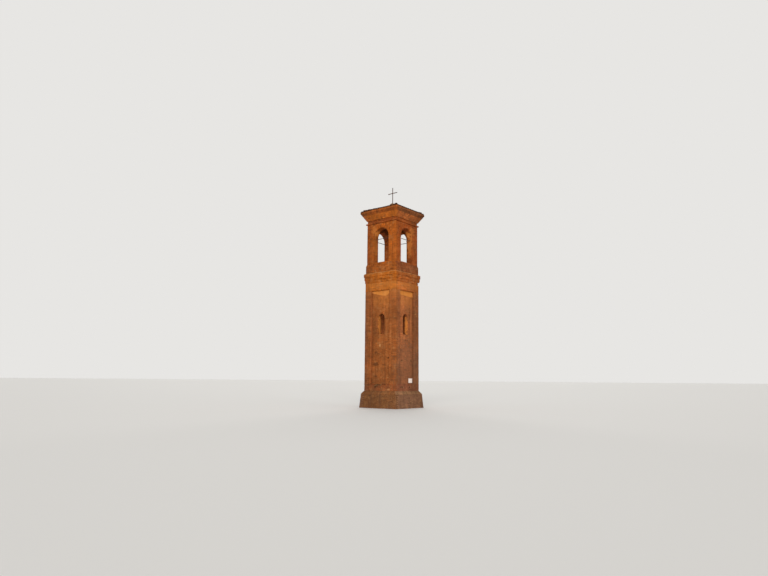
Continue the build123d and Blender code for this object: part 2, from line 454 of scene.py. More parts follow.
class BrickPile:
    """The bricks of one piece, gathered course by course and then joined."""

    firing: Pair = (0.5, 0.15)
    wide_batch: Pair = (0.9, 0.16)
    close_batch: Pair = (3.1, 0.10)
    worn_share: float = 0.09
    worn_proud: Pair = (0.25, 0.6)
    worn_arris: Pair = (1.6, 2.4)
    sound_arris: Pair = (0.7, 1.5)
    unevenness: float = 0.0009

    def __init__(self, name: str, seed: int, probe: WallProbe, material: Material, slot: str) -> None:
        """Start an empty pile.

        Args:
            name: The piece's name.
            seed: The seed of its unevenness.
            probe: What tells where the wall behind is whole.
            material: The piece's material.
            slot: The record's material slot.
        """
        self.name = name
        self.random = np.random.default_rng(seed)
        self.probe = probe
        self.material = material
        self.slot = slot
        self.bricks: list[Brick] = []

    def tone_at(self, place: Vector) -> float:
        """A brick's tone, from its own firing and the batch it came with.

        Args:
            place: The middle of its face.

        Returns:
            The tone, from 0, burnt dark, to 1, pale.
        """
        batches = (self.wide_batch, self.close_batch)
        batch = sum(noise.noise(place * scale) * share for scale, share in batches)
        own = self.random.normal(*self.firing)
        return float(np.clip(own + batch, 0.0, 1.0))

    def lay(
        self, facing: Facing, corners: Corners, depth: float = BRICK_DEPTH,
        start: float = 0.0, proud: float = PROUD, all_round: bool = False, probed: bool = True,
    ) -> None:
        """Lay one brick.

        Args:
            facing: The face it is in.
            corners: Its low left, low right, high left and high right corners on the face.
            depth: How far into the wall it goes.
            start: How far behind the face it begins.
            proud: How far its front stands out from there.
            all_round: True where more than its front shows.
            probed: True to leave out what the wall behind no longer carries.
        """
        (left, low), (right, low_right), (high_left, high), (high_right, high_end) = corners
        middle = (low + high_end) / 2
        if probed:
            first, last = min(left, high_left), max(right, high_right)
            start_at, end_at = self.probe.longest(facing, first, last, middle)
            if end_at - start_at < SHORTEST_BRICK:
                return
            if start_at > first + 1e-6:
                left = high_left = start_at
            if end_at < last - 1e-6:
                right = high_right = end_at
        tone = self.tone_at(facing.at((left + right) / 2, middle, -start))
        wear = self.random.random()
        arris = ARRIS * self.random.uniform(*self.sound_arris)
        if wear < self.worn_share:
            proud = proud * self.random.uniform(*self.worn_proud)
            arris = ARRIS * self.random.uniform(*self.worn_arris)
        proud = proud + self.random.normal(0, self.unevenness)
        shape = ((left, low), (right, low_right), (high_left, high), (high_right, high_end))
        self.bricks.append(Brick(facing, shape, proud - start, -start - depth, all_round, tone, arris))

    def lay_box(
        self, facing: Facing, left: float, right: float, low: float, high: float, **how: float | bool,
    ) -> None:
        """Lay one brick with an oblong face, given by its ends and its lower and upper edge."""
        self.lay(facing, ((left, low), (right, low), (left, high), (right, high)), **how)

    def finish(self) -> None:
        """Join the bricks into a piece of the tower."""
        parts = []
        for all_round, pattern in PATTERNS.items():
            chosen = [brick for brick in self.bricks if brick.all_round == all_round]
            if chosen:
                tones = np.array([brick.tone for brick in chosen])
                parts.append((pattern.place(chosen, self.random), pattern.faces, tones))
        put(joined_mesh(self.name, parts), self.material, self.slot)
        log.info("%s: %d bricks", self.name, len(self.bricks))


@dataclass(frozen=True)
class Cell:
    """A brick's stretch in a course, as distances from the face's left end, and how deep it goes."""

    start: float
    end: float
    depth: float
    is_corner: bool = False
    at_opening: int = 0


def bond(length: float, course: int, turns_corners: bool) -> list[Cell]:
    """Set out one course of alternate headers and stretchers.

    Args:
        length: The length of the face.
        course: The course's number, whose evenness picks one of two arrangements.
        turns_corners: True where the face ends at the tower's corners. The face then owns the brick at its
            right end, and leaves room for its neighbour's at its left end.

    Returns:
        The bricks, from left to right.
    """
    count = max(2, round((length + JOINT) / HALF_BRICK))
    unit = (length + JOINT) / count
    is_even = course % 2 == 0
    corner_long, corner_deep = (1, 2) if is_even else (2, 1)
    place, last = (corner_deep, count - corner_long) if turns_corners else (0, count)
    sizes = [1, 2] if turns_corners and is_even else [2, 1]
    marks = [float(place)]
    if not is_even:
        marks.append(place + 0.5)
        if not turns_corners:
            marks.append(place + 1.5)
    index = 0
    while marks[-1] + sizes[index % 2] < last - LEAST_CLOSER:
        marks.append(marks[-1] + sizes[index % 2])
        index += 1
    marks.append(float(last))
    cells = [Cell(a * unit, b * unit - JOINT, unit - JOINT) for a, b in zip(marks, marks[1:])]
    if turns_corners:
        cells.append(Cell(last * unit, count * unit - JOINT, corner_deep * unit - JOINT, is_corner=True))
    return cells


def cut_round(cells: Sequence[Cell], left: float, right: float) -> list[Cell]:
    """Cut a course back from an opening.

    Args:
        cells: The course.
        left: Where the opening begins, from the face's left end.
        right: Where it ends.

    Returns:
        The course in two parts, whose bricks beside the opening say so. Slips too thin to lay are joined
        to their neighbours.
    """
    thin = 0.5 * HALF_BRICK
    before = [Cell(c.start, min(c.end, left), c.depth, c.is_corner) for c in cells if c.start < left - SLIVER]
    after = [Cell(max(c.start, right), c.end, c.depth, c.is_corner) for c in cells if c.end > right + SLIVER]
    if len(before) > 1 and before[-1].end - before[-1].start < thin:
        before[-2:] = [Cell(before[-2].start, before[-1].end, before[-2].depth)]
    if len(after) > 1 and after[0].end - after[0].start < thin:
        after[:2] = [Cell(after[0].start, after[1].end, after[1].depth, after[1].is_corner)]
    if before:
        last = before[-1]
        before[-1] = Cell(last.start, left, last.depth, last.is_corner, at_opening=1)
    if after:
        first = after[0]
        after[0] = Cell(right, first.end, first.depth, first.is_corner, at_opening=-1)
    return before + after


@dataclass(frozen=True)
class Opening:
    """A round-headed opening in the middle of a face, with a ring of arch bricks round its head."""

    half: float
    sill: float
    springing: float
    ring: float
    depth: float
    arch_bricks: int
    impost: float = 0.0

    def half_at(self, height: float) -> float:
        """Half the width left free for the opening, and for its ring above the springing.

        Args:
            height: The height over the ground.

        Returns:
            Half the width there.
        """
        if height < self.springing - COURSE:
            return self.half
        if height < self.springing:
            return self.half - self.impost
        reach = self.half + self.ring + JOINT
        return math.sqrt(max(0.0, reach * reach - (height - self.springing) ** 2))

    def meets(self, low: float, high: float) -> bool:
        """Whether a course between two levels is cut by the opening."""
        top = self.springing + self.half + self.ring + JOINT
        return high > self.sill + SLACK and low < top - SLACK

    def wedge(self, index: int, inner: float, outer: float) -> Corners:
        """Set out one arch brick.

        Args:
            index: Its number in the ring, from the left.
            inner: How far from the middle of the ring it begins.
            outer: How far from there it ends.

        Returns:
            Its corners on the face.
        """
        step = math.pi / self.arch_bricks
        angle = math.pi - (index + 0.5) * step
        corners = []
        for radius in (inner, outer):
            spread = step / 2 - JOINT / 2 / radius
            for turn in (angle + spread, angle - spread):
                corners.append((radius * math.cos(turn), self.springing + radius * math.sin(turn)))
        return tuple(corners)


@dataclass
class Storey:
    """A stretch of upright brickwork of one thickness on one side of the tower."""

    pile: BrickPile
    side: Side
    half: float
    first: int
    last: int
    from_left: float | None = None
    to_right: float | None = None
    opening: Opening | None = None
    foot_half: float | None = None
    underside_shows: bool = False
    top_shows: bool = False

    def half_of(self, height: float) -> float:
        """How far out the face is at a height. It leans where the storey has a wider foot.

        Args:
            height: The height over the ground.

        Returns:
            The distance from the axis.
        """
        if self.foot_half is None:
            return self.half
        share = (height - level(self.first)) / (level(self.last) - level(self.first))
        return self.foot_half + (self.half - self.foot_half) * share

    def lay(self) -> None:
        """Lay every course."""
        facing = Facing.upright(self.side, self.half)
        if self.foot_half is not None:
            low = (self.foot_half, level(self.first))
            facing = Facing.sloping(self.side, low, (self.half, level(self.last)))
        for course in range(self.first, self.last):
            self.lay_course(facing, course)

    def lay_course(self, facing: Facing, course: int) -> None:
        """Lay one course, cut round the opening where there is one.

        Args:
            facing: The face that it is in.
            course: Its number.
        """
        low = level(course) + JOINT / 2
        high = level(course + 1) - JOINT / 2
        shows_below = self.underside_shows and course == self.first
        shows_above = self.top_shows and course == self.last - 1
        if shows_below:
            low = level(course) - UNDERSIDE_DROP
        if shows_above:
            high = level(course + 1) + TOP_RISE
        turns_corners = self.from_left is None
        low_half, high_half = self.half_of(low), self.half_of(high)
        left_end = -low_half if turns_corners else self.from_left
        right_end = low_half if turns_corners else self.to_right
        cells = bond(right_end - left_end, course, turns_corners)
        opening = self.opening
        if opening is not None and opening.meets(low, high):
            middle = (opening.half_at(low) + opening.half_at(high)) / 2
            cells = cut_round(cells, -middle - left_end, middle - left_end)
        stretch = 1 / facing.up.z
        for cell in cells:
            ends = [left_end + cell.start, left_end + cell.end] * 2
            if turns_corners:
                ends[2:] = [end * (high_half / low_half) for end in ends[2:]]
            if cell.is_corner:
                ends[1], ends[3] = low_half + PROUD, high_half + PROUD
            if cell.at_opening:
                self.meet_opening(ends, cell.at_opening, low, high)
            is_jamb = cell.at_opening != 0 and high < opening.springing + SLACK
            deep = STRETCHER if is_jamb and course % 2 else cell.depth
            ups = [(height - facing.origin.z) * stretch for height in (low, low, high, high)]
            all_round = cell.is_corner or cell.at_opening != 0 or shows_below or shows_above
            self.pile.lay(facing, tuple(zip(ends, ups)), depth=deep, all_round=all_round)
            if is_jamb:
                edge = ends[1] if cell.at_opening > 0 else ends[0]
                self.lay_jamb(facing, edge, cell.at_opening, deep, low, high)

    def meet_opening(self, ends: list[float], towards: int, low: float, high: float) -> None:
        """Bring the end of a brick to the opening, or to the back of the ring of arch bricks.

        Args:
            ends: The brick's low left, low right, high left and high right ends, changed in place.
            towards: 1 where the opening is to the brick's right, -1 where it is to its left.
            low: The brick's lower edge.
            high: Its upper edge.
        """
        reveal = PROUD if high < self.opening.springing + SLACK else 0.0
        first = 1 if towards > 0 else 0
        for index, height in ((first, low), (first + 2, high)):
            ends[index] = -towards * (self.opening.half_at(height) - reveal)

    def lay_jamb(
        self, facing: Facing, edge: float, towards: int, deep: float, low: float, high: float,
    ) -> None:
        """Lay the brick behind the front one on a jamb, to the inner face of the wall.

        Args:
            facing: The face that the opening is in.
            edge: Where the front brick meets the opening.
            towards: 1 where the opening is to the brick's right, -1 where it is to its left.
            deep: How far the front brick goes into the wall.
            low: The lower edge of both.
            high: Their upper edge.
        """
        rest = self.opening.depth - deep - JOINT
        if rest < THINNEST_LINING:
            return
        inner = edge - towards * (BRICK_DEPTH + PROUD)
        self.pile.lay_box(
            facing, min(edge, inner), max(edge, inner), low, high,
            depth=rest + PROUD, start=deep + JOINT, proud=0.0, all_round=True, probed=False,
        )


def lay_ring(pile: BrickPile, facing: Facing, opening: Opening, long_only: bool) -> None:
    """Lay the ring of arch bricks round the head of an opening.

    Args:
        pile: The pile they go to.
        facing: The face that the opening is in.
        opening: The opening.
        long_only: True where the ring is one brick deep into the wall, so that no second brick follows.
    """
    soffit = opening.half - PROUD
    outside = opening.half + opening.ring
    middle = (soffit + outside) / 2
    for index in range(opening.arch_bricks):
        is_split = index % 2 == 1 and not long_only
        rings = [(soffit, outside)]
        first = opening.depth if long_only else STRETCHER
        if is_split:
            rings = [(soffit, middle - JOINT / 2), (middle + JOINT / 2, outside)]
            first = BRICK_DEPTH
        for inner, outer in rings:
            corners = opening.wedge(index, inner, outer)
            pile.lay(facing, corners, depth=first, proud=RING_PROUD, all_round=True, probed=False)
        rest = opening.depth - first - JOINT
        if rest > THINNEST_LINING:
            pile.lay(
                facing, opening.wedge(index, soffit, soffit + BRICK_DEPTH), depth=rest + PROUD,
                start=first + JOINT, proud=0.0, all_round=True, probed=False,
            )


def lay_headers(pile: BrickPile, side: Side, half: float, course: int) -> None:
    """Lay one projecting course of headers round to the tower's corner.

    Args:
        pile: The pile they go to.
        side: The side of the tower.
        half: How far out the course stands.
        course: The course's number.
    """
    facing = Facing.upright(side, half)
    low = level(course) - UNDERSIDE_DROP
    high = level(course + 1) - JOINT / 2 - UNDERSIDE_DROP
    count = round((2 * half + JOINT) / HALF_BRICK)
    unit = (2 * half + JOINT) / count
    marks = [1.0, 1.5] if course % 2 else [2.0]
    last = count - 2.0 if course % 2 else count - 1.0
    while marks[-1] < last - LEAST_HEADER:
        marks.append(min(last, marks[-1] + 1))
    for start, end in zip(marks, marks[1:]):
        pile.lay_box(facing, start * unit - half, end * unit - JOINT - half, low, high)
    deep = max(BRICK_DEPTH, unit - JOINT) if course % 2 else 2 * unit - JOINT
    pile.lay_box(facing, marks[-1] * unit - half, half + PROUD, low, high, depth=deep, all_round=True)


def lay_coping(pile: BrickPile, side: Side, low: Pair, high: Pair, overhang: float = 0.0) -> None:
    """Lay bricks on edge down a slope that runs round the tower, cut to the hips at its corners.

    Args:
        pile: The pile they go to.
        side: The side of the tower.
        low: The slope's lower edge, as its distance out and its height.
        high: Its upper edge.
        overhang: How far the bricks reach past the lower edge.
    """
    facing = Facing.sloping(side, low, high)
    length = math.dist(low, high)
    count = round(2 * high[0] / COPING_WIDTH)
    inner = [(-high[0] + 2 * high[0] * index / count) for index in range(count + 1)]
    hips = max(1, round((low[0] - high[0]) / COPING_WIDTH))
    outer = [high[0] + (low[0] - high[0]) * index / hips for index in range(1, hips + 1)]
    marks = [-mark for mark in reversed(outer)] + inner + outer

    def top_at(across: float) -> float:
        """How far up the slope a point across may go before it meets the hip."""
        past = max(0.0, abs(across) - high[0]) / (low[0] - high[0])
        return length * (1 - past) - JOINT / 2

    for start, end in zip(marks, marks[1:]):
        left, right = start + JOINT / 2, end - JOINT / 2
        tops = max(SHORTEST_CUT, top_at(left)), max(SHORTEST_CUT, top_at(right))
        corners = ((left, -overhang), (right, -overhang), (left, tops[0]), (right, tops[1]))
        pile.lay(facing, corners, depth=COPING_DEPTH, all_round=True, probed=False)


def faces_at(node: str, height: float) -> list[float]:
    """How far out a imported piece's faces lie at a height, least first, read from its corners."""
    points = [vertex.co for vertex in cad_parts[node].data.vertices]
    return sorted({round(max(abs(p.x), abs(p.y)), 4) for p in points if abs(p.z - height) < 2 * SLACK})


@dataclass(frozen=True)
class TowerPlan:
    """The half widths of the tower at its storeys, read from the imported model."""

    foot: float = faces_at("plinth_back", 0.0)[-1]
    batter: float = faces_at("plinth_back", level(BATTER_TOP))[-1]
    shaft: float = faces_at("shaft_pier_back_left", level(PANEL_TOP))[-1]
    panel: float = faces_at("shaft_panel_back", level(PANEL_TOP))[-1]
    panel_half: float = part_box("shaft_panel_back")[1].x
    string: float = faces_at("string_course_left", level(STRING_TOP))[-1]
    pedestal: float = faces_at("belfry_parapet_back", level(PEDESTAL_TOP))[-1]
    belfry: float = faces_at("belfry_parapet_back", level(BELFRY_BED))[-1]
    belfry_inner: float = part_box("arch_wall_back")[0].y
    belt: float = faces_at("cornice_back", level(BELT_TOP))[-1]
    band: float = faces_at("cornice_back", level(BELT_TOP))[-2]
    corbel: float = faces_at("cornice_back", level(BAND_TOP))[-1]
    cornice: float = faces_at("cornice_back", level(CORNICE_TOP))[-1]
    eaves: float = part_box("roof_slope_back")[1].y
    eaves_level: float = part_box("roof_slope_back")[0].z
    apex_level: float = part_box("roof_slope_back")[1].z


PLAN = TowerPlan()

SLIT = Opening(
    half=0.280, sill=level(69), springing=5.930, ring=BRICK_DEPTH, depth=0.290, arch_bricks=13,
)
BELFRY_ARCH = Opening(
    half=0.650, sill=level(BELFRY_BED), springing=level(SPRINGING), ring=0.280,
    depth=PLAN.belfry - PLAN.belfry_inner, arch_bricks=29, impost=0.025,
)


class Graph:
    """Wires the nodes of one material or group."""

    def __init__(self, tree: bpy.types.NodeTree) -> None:
        """Work in the given tree."""
        self.tree = tree

    def feed(self, socket: Socket, source: object) -> None:
        """Link a socket to another's output, or give it a plain value.

        Args:
            socket: The input.
            source: The output, or the value.
        """
        if isinstance(source, Socket):
            self.tree.links.new(source, socket)
        else:
            socket.default_value = source

    def node(self, kind: str, terms: Terms | None = None, **options: object) -> bpy.types.Node:
        """Add a node.

        Args:
            kind: The node's type.
            terms: What its inputs take, by their names or numbers.
            options: Its options.

        Returns:
            The node.
        """
        made = self.tree.nodes.new(kind)
        for name, value in options.items():
            setattr(made, name, value)
        for name, source in (terms or {}).items():
            self.feed(made.inputs[name], source)
        return made

    def value(self, operation: str, *terms: object) -> Socket:
        """One step of arithmetic."""
        return self.node("ShaderNodeMath", dict(enumerate(terms)), operation=operation).outputs[0]

    def vector(self, operation: str, *terms: object) -> Sockets:
        """One step of vector arithmetic."""
        return self.node("ShaderNodeVectorMath", dict(enumerate(terms)), operation=operation).outputs

    def larger(self, first: object, second: object) -> Socket:
        """The larger of two values, whatever their signs."""
        return self.value("MAXIMUM", self.value("ABSOLUTE", first), self.value("ABSOLUTE", second))

    def mix(self, share: object, first: object, second: object) -> Socket:
        """Mix two colours."""
        return self.node("ShaderNodeMix", {"Factor": share, 6: first, 7: second}, data_type="RGBA").outputs[2]

    def tint(self, body: object, mask: object, strength: object, colour: object) -> Socket:
        """Lay a colour over another, where a mask is and as strongly as given."""
        return self.mix(self.value("MULTIPLY", mask, strength), body, colour)

    def noise(self, place: Socket, scale: float, detail: float = 3.0, roughness: float = 0.55) -> Socket:
        """A smooth random value over the surface."""
        terms = {"Vector": place, "Scale": scale, "Detail": detail, "Roughness": roughness}
        return self.node("ShaderNodeTexNoise", terms).outputs["Fac"]

    def span(
        self, source: object, low: object, high: object, to_low: float = 0.0, to_high: float = 1.0,
    ) -> Socket:
        """Stretch a range of a value to another, held at its ends."""
        terms = dict(enumerate((source, low, high, to_low, to_high)))
        return self.node("ShaderNodeMapRange", terms, interpolation_type="SMOOTHSTEP").outputs[0]

    def split(self, vector: Socket) -> Sockets:
        """A vector's three parts."""
        return self.node("ShaderNodeSeparateXYZ", {0: vector}).outputs

    def stretched(self, place: Socket, scale: Triple) -> Socket:
        """A place scaled differently along each axis, for streaks."""
        return self.vector("MULTIPLY", place, scale)[0]

    def coursed(
        self, place: Socket, row: float, clays: Sequence[object], lime: object, smooth: float,
    ) -> Sockets:
        """Plain bricks in courses.

        Args:
            place: The place, whose first two parts run along and across the courses.
            row: The height of a course.
            clays: The two colours of the bricks.
            lime: The colour of the joints.
            smooth: How soft the joints' edges are.

        Returns:
            Their colour, and where the joints are.
        """
        return self.node("ShaderNodeTexBrick", {
            "Vector": place, "Scale": 1.0, "Brick Width": 2 * HALF_BRICK, "Row Height": row,
            "Mortar Size": JOINT / 2, "Mortar Smooth": smooth, "Mortar": lime,
            "Color1": clays[0], "Color2": clays[1],
        }).outputs

    def use(self, group: bpy.types.NodeTree, **terms: object) -> Sockets:
        """Place a shared group and feed its inputs by name."""
        return self.node("ShaderNodeGroup", terms, node_tree=group).outputs


LIME_WHITE = (202, 152, 98)
BED_LIME = (190, 146, 98)
# Pale ochre, laid as painted light on shaded jambs and soffits
PAINTED_LIGHT_OCHRE = (206, 128, 58)
# A paler ochre laid over the upper wall; on the frieze it is painted light
PALE_OCHRE = (196, 120, 54)
# A paler clay that brightens a patch; on the left pier's return it is painted light
BRIGHT_CLAY = (180, 106, 58)
# Dark brown for soot, dirt and dark streaks, and for painted shade towards far corners, in the pockets of lost
# bricks, in a crevice and at the eaves
SOOT_AND_SHADE = (58, 34, 18)
BURNT_SPECK = (52, 24, 10)
GREY_FILM = (104, 74, 56)
DARK_SCALE = (46, 37, 33)
BROWN_RUST = (104, 62, 38)
FRESH_RUST = (150, 88, 44)

# The lime in the upper storeys' mortar, which looks darker than the shaft's
DARK_MORTAR = 0.28

SOCKET_KINDS = {"Vector": "NodeSocketVector", "Color": "NodeSocketColor", "Value": "NodeSocketFloat"}


class Effect(Graph):
    """A shader group that the finishes share. Each kind of effect wires its own inside."""

    name: str
    takes: dict[str, str]
    gives: dict[str, str] = {"Color": "Color", "Height": "Value"}

    def __init__(self) -> None:
        """Make the group and wire it."""
        super().__init__(bpy.data.node_groups.new(self.name, "ShaderNodeTree"))
        for way, sockets in (("INPUT", self.takes), ("OUTPUT", self.gives)):
            for name, kind in sockets.items():
                self.tree.interface.new_socket(name, in_out=way, socket_type=SOCKET_KINDS[kind])
        self.given = self.node("NodeGroupInput").outputs[:len(self.takes)]
        self.node("NodeGroupOutput", self.wire())

    def wire(self) -> Terms:
        """Wire the inside and return what the outputs give."""
        raise NotImplementedError


class FiredClay(Effect):
    """Clay that the kiln burnt unevenly: tone from brick to brick, grit, specks and small pits."""

    name = "fired_clay"
    takes = {"Place": "Vector", "Tone": "Value", "Pale": "Color", "Middle": "Color", "Dark": "Color"}

    def wire(self) -> Terms:
        """Wire the inside.

        Returns:
            What its outputs give.
        """
        place, tone, pale, middle, dark = self.given
        body = self.mix(self.span(tone, 0.05, 0.45), dark, middle)
        body = self.mix(self.span(tone, 0.55, 0.95), body, pale)
        flame = self.span(self.noise(place, 6.0, 2.0), 0.35, 0.7)
        body = self.tint(body, flame, 0.22, pale)
        grit = self.noise(place, 70.0, 3.0, 0.7)
        body = self.mix(self.span(grit, 0.3, 0.75, 0.0, 0.30), body, dark)
        speck = self.span(self.noise(place, 160.0, 1.0), 0.66, 0.74)
        body = self.tint(body, speck, 0.5, paint(BURNT_SPECK))
        pits = self.span(self.noise(place, 38.0, 4.0, 0.65), 0.28, 0.5)
        height = self.value("ADD", self.value("MULTIPLY", pits, 0.7), self.value("MULTIPLY", grit, 0.3))
        return {"Color": body, "Height": height}


class LimeMortar(Effect):
    """Lime mortar with sand in it, washed out darker in patches."""

    name = "lime_mortar"
    takes = {"Place": "Vector", "Lime": "Color"}

    def wire(self) -> Terms:
        """Wire the inside.

        Returns:
            What its outputs give.
        """
        place, lime = self.given
        sand = self.noise(place, 95.0, 3.0, 0.7)
        washed = self.span(self.noise(place, 2.6, 4.0), 0.36, 0.66)
        body = self.tint(lime, washed, 0.38, paint(SOOT_AND_SHADE))
        body = self.mix(self.span(sand, 0.35, 0.7, 0.0, 0.25), body, paint(LIME_WHITE))
        return {"Color": body, "Height": sand}


class Weathering(Effect):
    """What the weather does over metres: patches, dark streaks, limewash that lingers and a dustier foot.
    Besides, a paler ochre above a given height, which on the frieze is painted light, and painted shade towards
    the front-left and back-right corners.
    """

    name = "weathering"
    takes = {
        "Place": "Vector", "Color": "Color",
        "Soot": "Value", "Lime": "Value", "Low": "Value", "High": "Value",
    }
    gives = {"Color": "Color"}

    def wire(self) -> Terms:
        """Wire the inside.

        Returns:
            What its output gives.
        """
        place, colour, soot, lime, pale_low, pale_high = self.given
        across, deep, height = self.split(place)
        patches = self.span(self.noise(place, 0.75, 4.0, 0.6), 0.33, 0.67, 0.84, 1.14)
        scuffs = self.span(self.noise(place, 4.2, 3.0, 0.6), 0.3, 0.7, 0.92, 1.08)
        terms = {0: colour, "Scale": self.value("MULTIPLY", patches, scuffs)}
        body = self.node("ShaderNodeVectorMath", terms, operation="SCALE").outputs[0]
        streak = self.noise(self.stretched(place, (5.0, 5.0, 0.45)), 1.0, 3.0, 0.6)
        body = self.tint(body, self.span(streak, 0.47, 0.72), soot, paint(SOOT_AND_SHADE))
        # Above the given height the colour turns a paler ochre; on the frieze this is painted light.
        edge = self.value("ADD", height, self.value("MULTIPLY", self.noise(place, 2.2, 4.0), 0.5))
        wash = self.span(edge, pale_low, pale_high)
        lingering = self.span(self.noise(place, 3.4, 5.0, 0.62), 0.50, 0.70)
        body = self.tint(body, lingering, lime, paint(LIME_WHITE))
        dusty = self.span(self.noise(place, 5.0, 4.0), 0.25, 0.6, 0.12, 0.42)
        body = self.tint(body, wash, dusty, paint(PALE_OCHRE))
        foot = self.span(height, 3.4, 0.2, 0.0, 0.20)
        body = self.tint(body, foot, self.span(streak, 0.3, 0.6), paint(GREY_FILM))
        # Painted shade: darker towards the front-left and back-right corners, the far ends of the front and
        # right faces.
        diagonal = self.value("ABSOLUTE", self.value("SUBTRACT", deep, across))
        far_end_shade = self.span(diagonal, 1.7, 0.0, 0.0, 0.28)
        return {"Color": self.mix(far_end_shade, body, paint(SOOT_AND_SHADE))}


class Spot(Effect):
    """A soft-edged patch round a place, with an uneven rim."""

    name = "spot"
    takes = {"Place": "Vector", "Middle": "Vector", "Reach": "Vector"}
    gives = {"Mask": "Value"}

    def wire(self) -> Terms:
        """Wire the inside.

        Returns:
            What its output gives.
        """
        place, middle, reach = self.given
        scaled = self.vector("DIVIDE", self.vector("SUBTRACT", place, middle)[0], reach)[0]
        ragged = self.span(self.noise(place, 7.0, 4.0), 0.2, 0.8, -0.45, 0.45)
        rim = self.value("ADD", self.vector("LENGTH", scaled)["Value"], ragged)
        return {"Mask": self.span(rim, 1.1, 0.7)}


class Rust(Effect):
    """Old iron, dark with scale, rusted brown in blooms and pitted."""

    name = "rust"
    takes = {"Place": "Vector"}

    def wire(self) -> Terms:
        """Wire the inside.

        Returns:
            What its outputs give.
        """
        place, = self.given
        bloom = self.span(self.noise(place, 11.0, 5.0, 0.65), 0.40, 0.66)
        body = self.mix(bloom, paint(DARK_SCALE), paint(BROWN_RUST))
        fresh = self.span(self.noise(place, 37.0, 4.0, 0.6), 0.60, 0.72)
        body = self.tint(body, fresh, bloom, paint(FRESH_RUST))
        pits = self.noise(place, 140.0, 3.0, 0.7)
        return {"Color": body, "Height": self.value("ADD", pits, bloom)}


FIRED_CLAY, LIME_MORTAR, WEATHERING_AND_SHADE, SPOT, RUST = (
    effect().tree for effect in (FiredClay, LimeMortar, Weathering, Spot, Rust)
)


class Mark(Enum):
    """What a named patch does to the wall: its colour, and how strong it is. Some marks paint light, and some
    paint shade as well as dirt.
    """

    DIRT = (SOOT_AND_SHADE, 0.55)
    SMUDGE = (SOOT_AND_SHADE, 0.18)
    DUST = (GREY_FILM, 0.46)
    HOLE = (SOOT_AND_SHADE, 0.80)
    RINSED = (BRIGHT_CLAY, 0.45)
    LIME = (LIME_WHITE, 0.45)
    # Painted light, laid on shaded jambs and soffits at three strengths
    PLASTER = (PAINTED_LIGHT_OCHRE, 0.85)
    PAINTED_LIGHT_HALF = (PAINTED_LIGHT_OCHRE, 0.45)
    PAINTED_LIGHT_FAINT = (PAINTED_LIGHT_OCHRE, 0.28)


POCKET_MIDDLE = 0.080
POCKET_REACH = (0.040, 0.078, 0.055)

# A pocket that lost bricks left: its side, its start and its width in headers, and its course
Pocket = tuple[Side, float, int, int]


@dataclass(frozen=True)
class Patch:
    """One named patch that the photograph shows at one place: a stain, a pale patch, painted light or painted
    shade.
    """

    mark: Mark
    middle: Triple
    reach: Triple

    @classmethod
    def in_pocket(cls, face: float, pocket: Pocket) -> "Patch":
        """Painted shade and dirt in the pocket that lost bricks left, behind the faces of their neighbours.

        Args:
            face: How far out the wall's face is.
            pocket: The pocket.

        Returns:
            The patch.
        """
        side, start, bricks, course = pocket
        half = bricks * HALF_BRICK / 2
        middle = side.turn @ Vector((start * HALF_BRICK + half, POCKET_MIDDLE - face, level(course + 0.5)))
        reach = side.turn @ Vector((half + POCKET_REACH[0], *POCKET_REACH[1:]))
        return cls(Mark.HOLE, tuple(middle), tuple(abs(value) for value in reach))


class Coat(Graph):
    """A material being mixed, its shader's inputs and the place on the object, which no camera changes."""

    def __init__(self, name: str, roughness: float, gloss: float = 0.10) -> None:
        """Start the material.

        Args:
            name: The material's name.
            roughness: How rough it is.
            gloss: The shader's specular level, low for dusty masonry.
        """
        self.material = bpy.data.materials.new(name)
        self.material.use_nodes = True
        super().__init__(self.material.node_tree)
        self.shader = self.tree.nodes["Principled BSDF"].inputs
        self.shader["Roughness"].default_value = roughness
        self.shader["Specular IOR Level"].default_value = gloss
        self.place = self.node("ShaderNodeTexCoord").outputs["Object"]

    def fired(self, clay: Colour, pale_by: float, dark_by: float) -> Sockets:
        """Clay whose tone differs from brick to brick.

        Args:
            clay: The colour of most bricks.
            pale_by: The factor that makes the palest.
            dark_by: The factor that makes the darkest.

        Returns:
            Its colour and its height.
        """
        tone = self.node("ShaderNodeAttribute", attribute_name="tone").outputs["Fac"]
        pale, dark = (paint(shade(clay, factor)) for factor in (pale_by, dark_by))
        return self.use(FIRED_CLAY, Place=self.place, Tone=tone, Pale=pale, Middle=paint(clay), Dark=dark)

    def finish(self, colour: object, grain: object, strength: float, height: float) -> Material:
        """Give the shader its colour, and a grain that catches the light.

        Args:
            colour: The colour.
            grain: The relief of the grain.
            strength: How much it shows.
            height: How high it stands, in metres.

        Returns:
            The material.
        """
        bump = self.node("ShaderNodeBump", {"Strength": strength, "Distance": height, "Height": grain})
        self.feed(self.shader["Base Color"], colour)
        self.feed(self.shader["Normal"], bump.outputs[0])
        return self.material


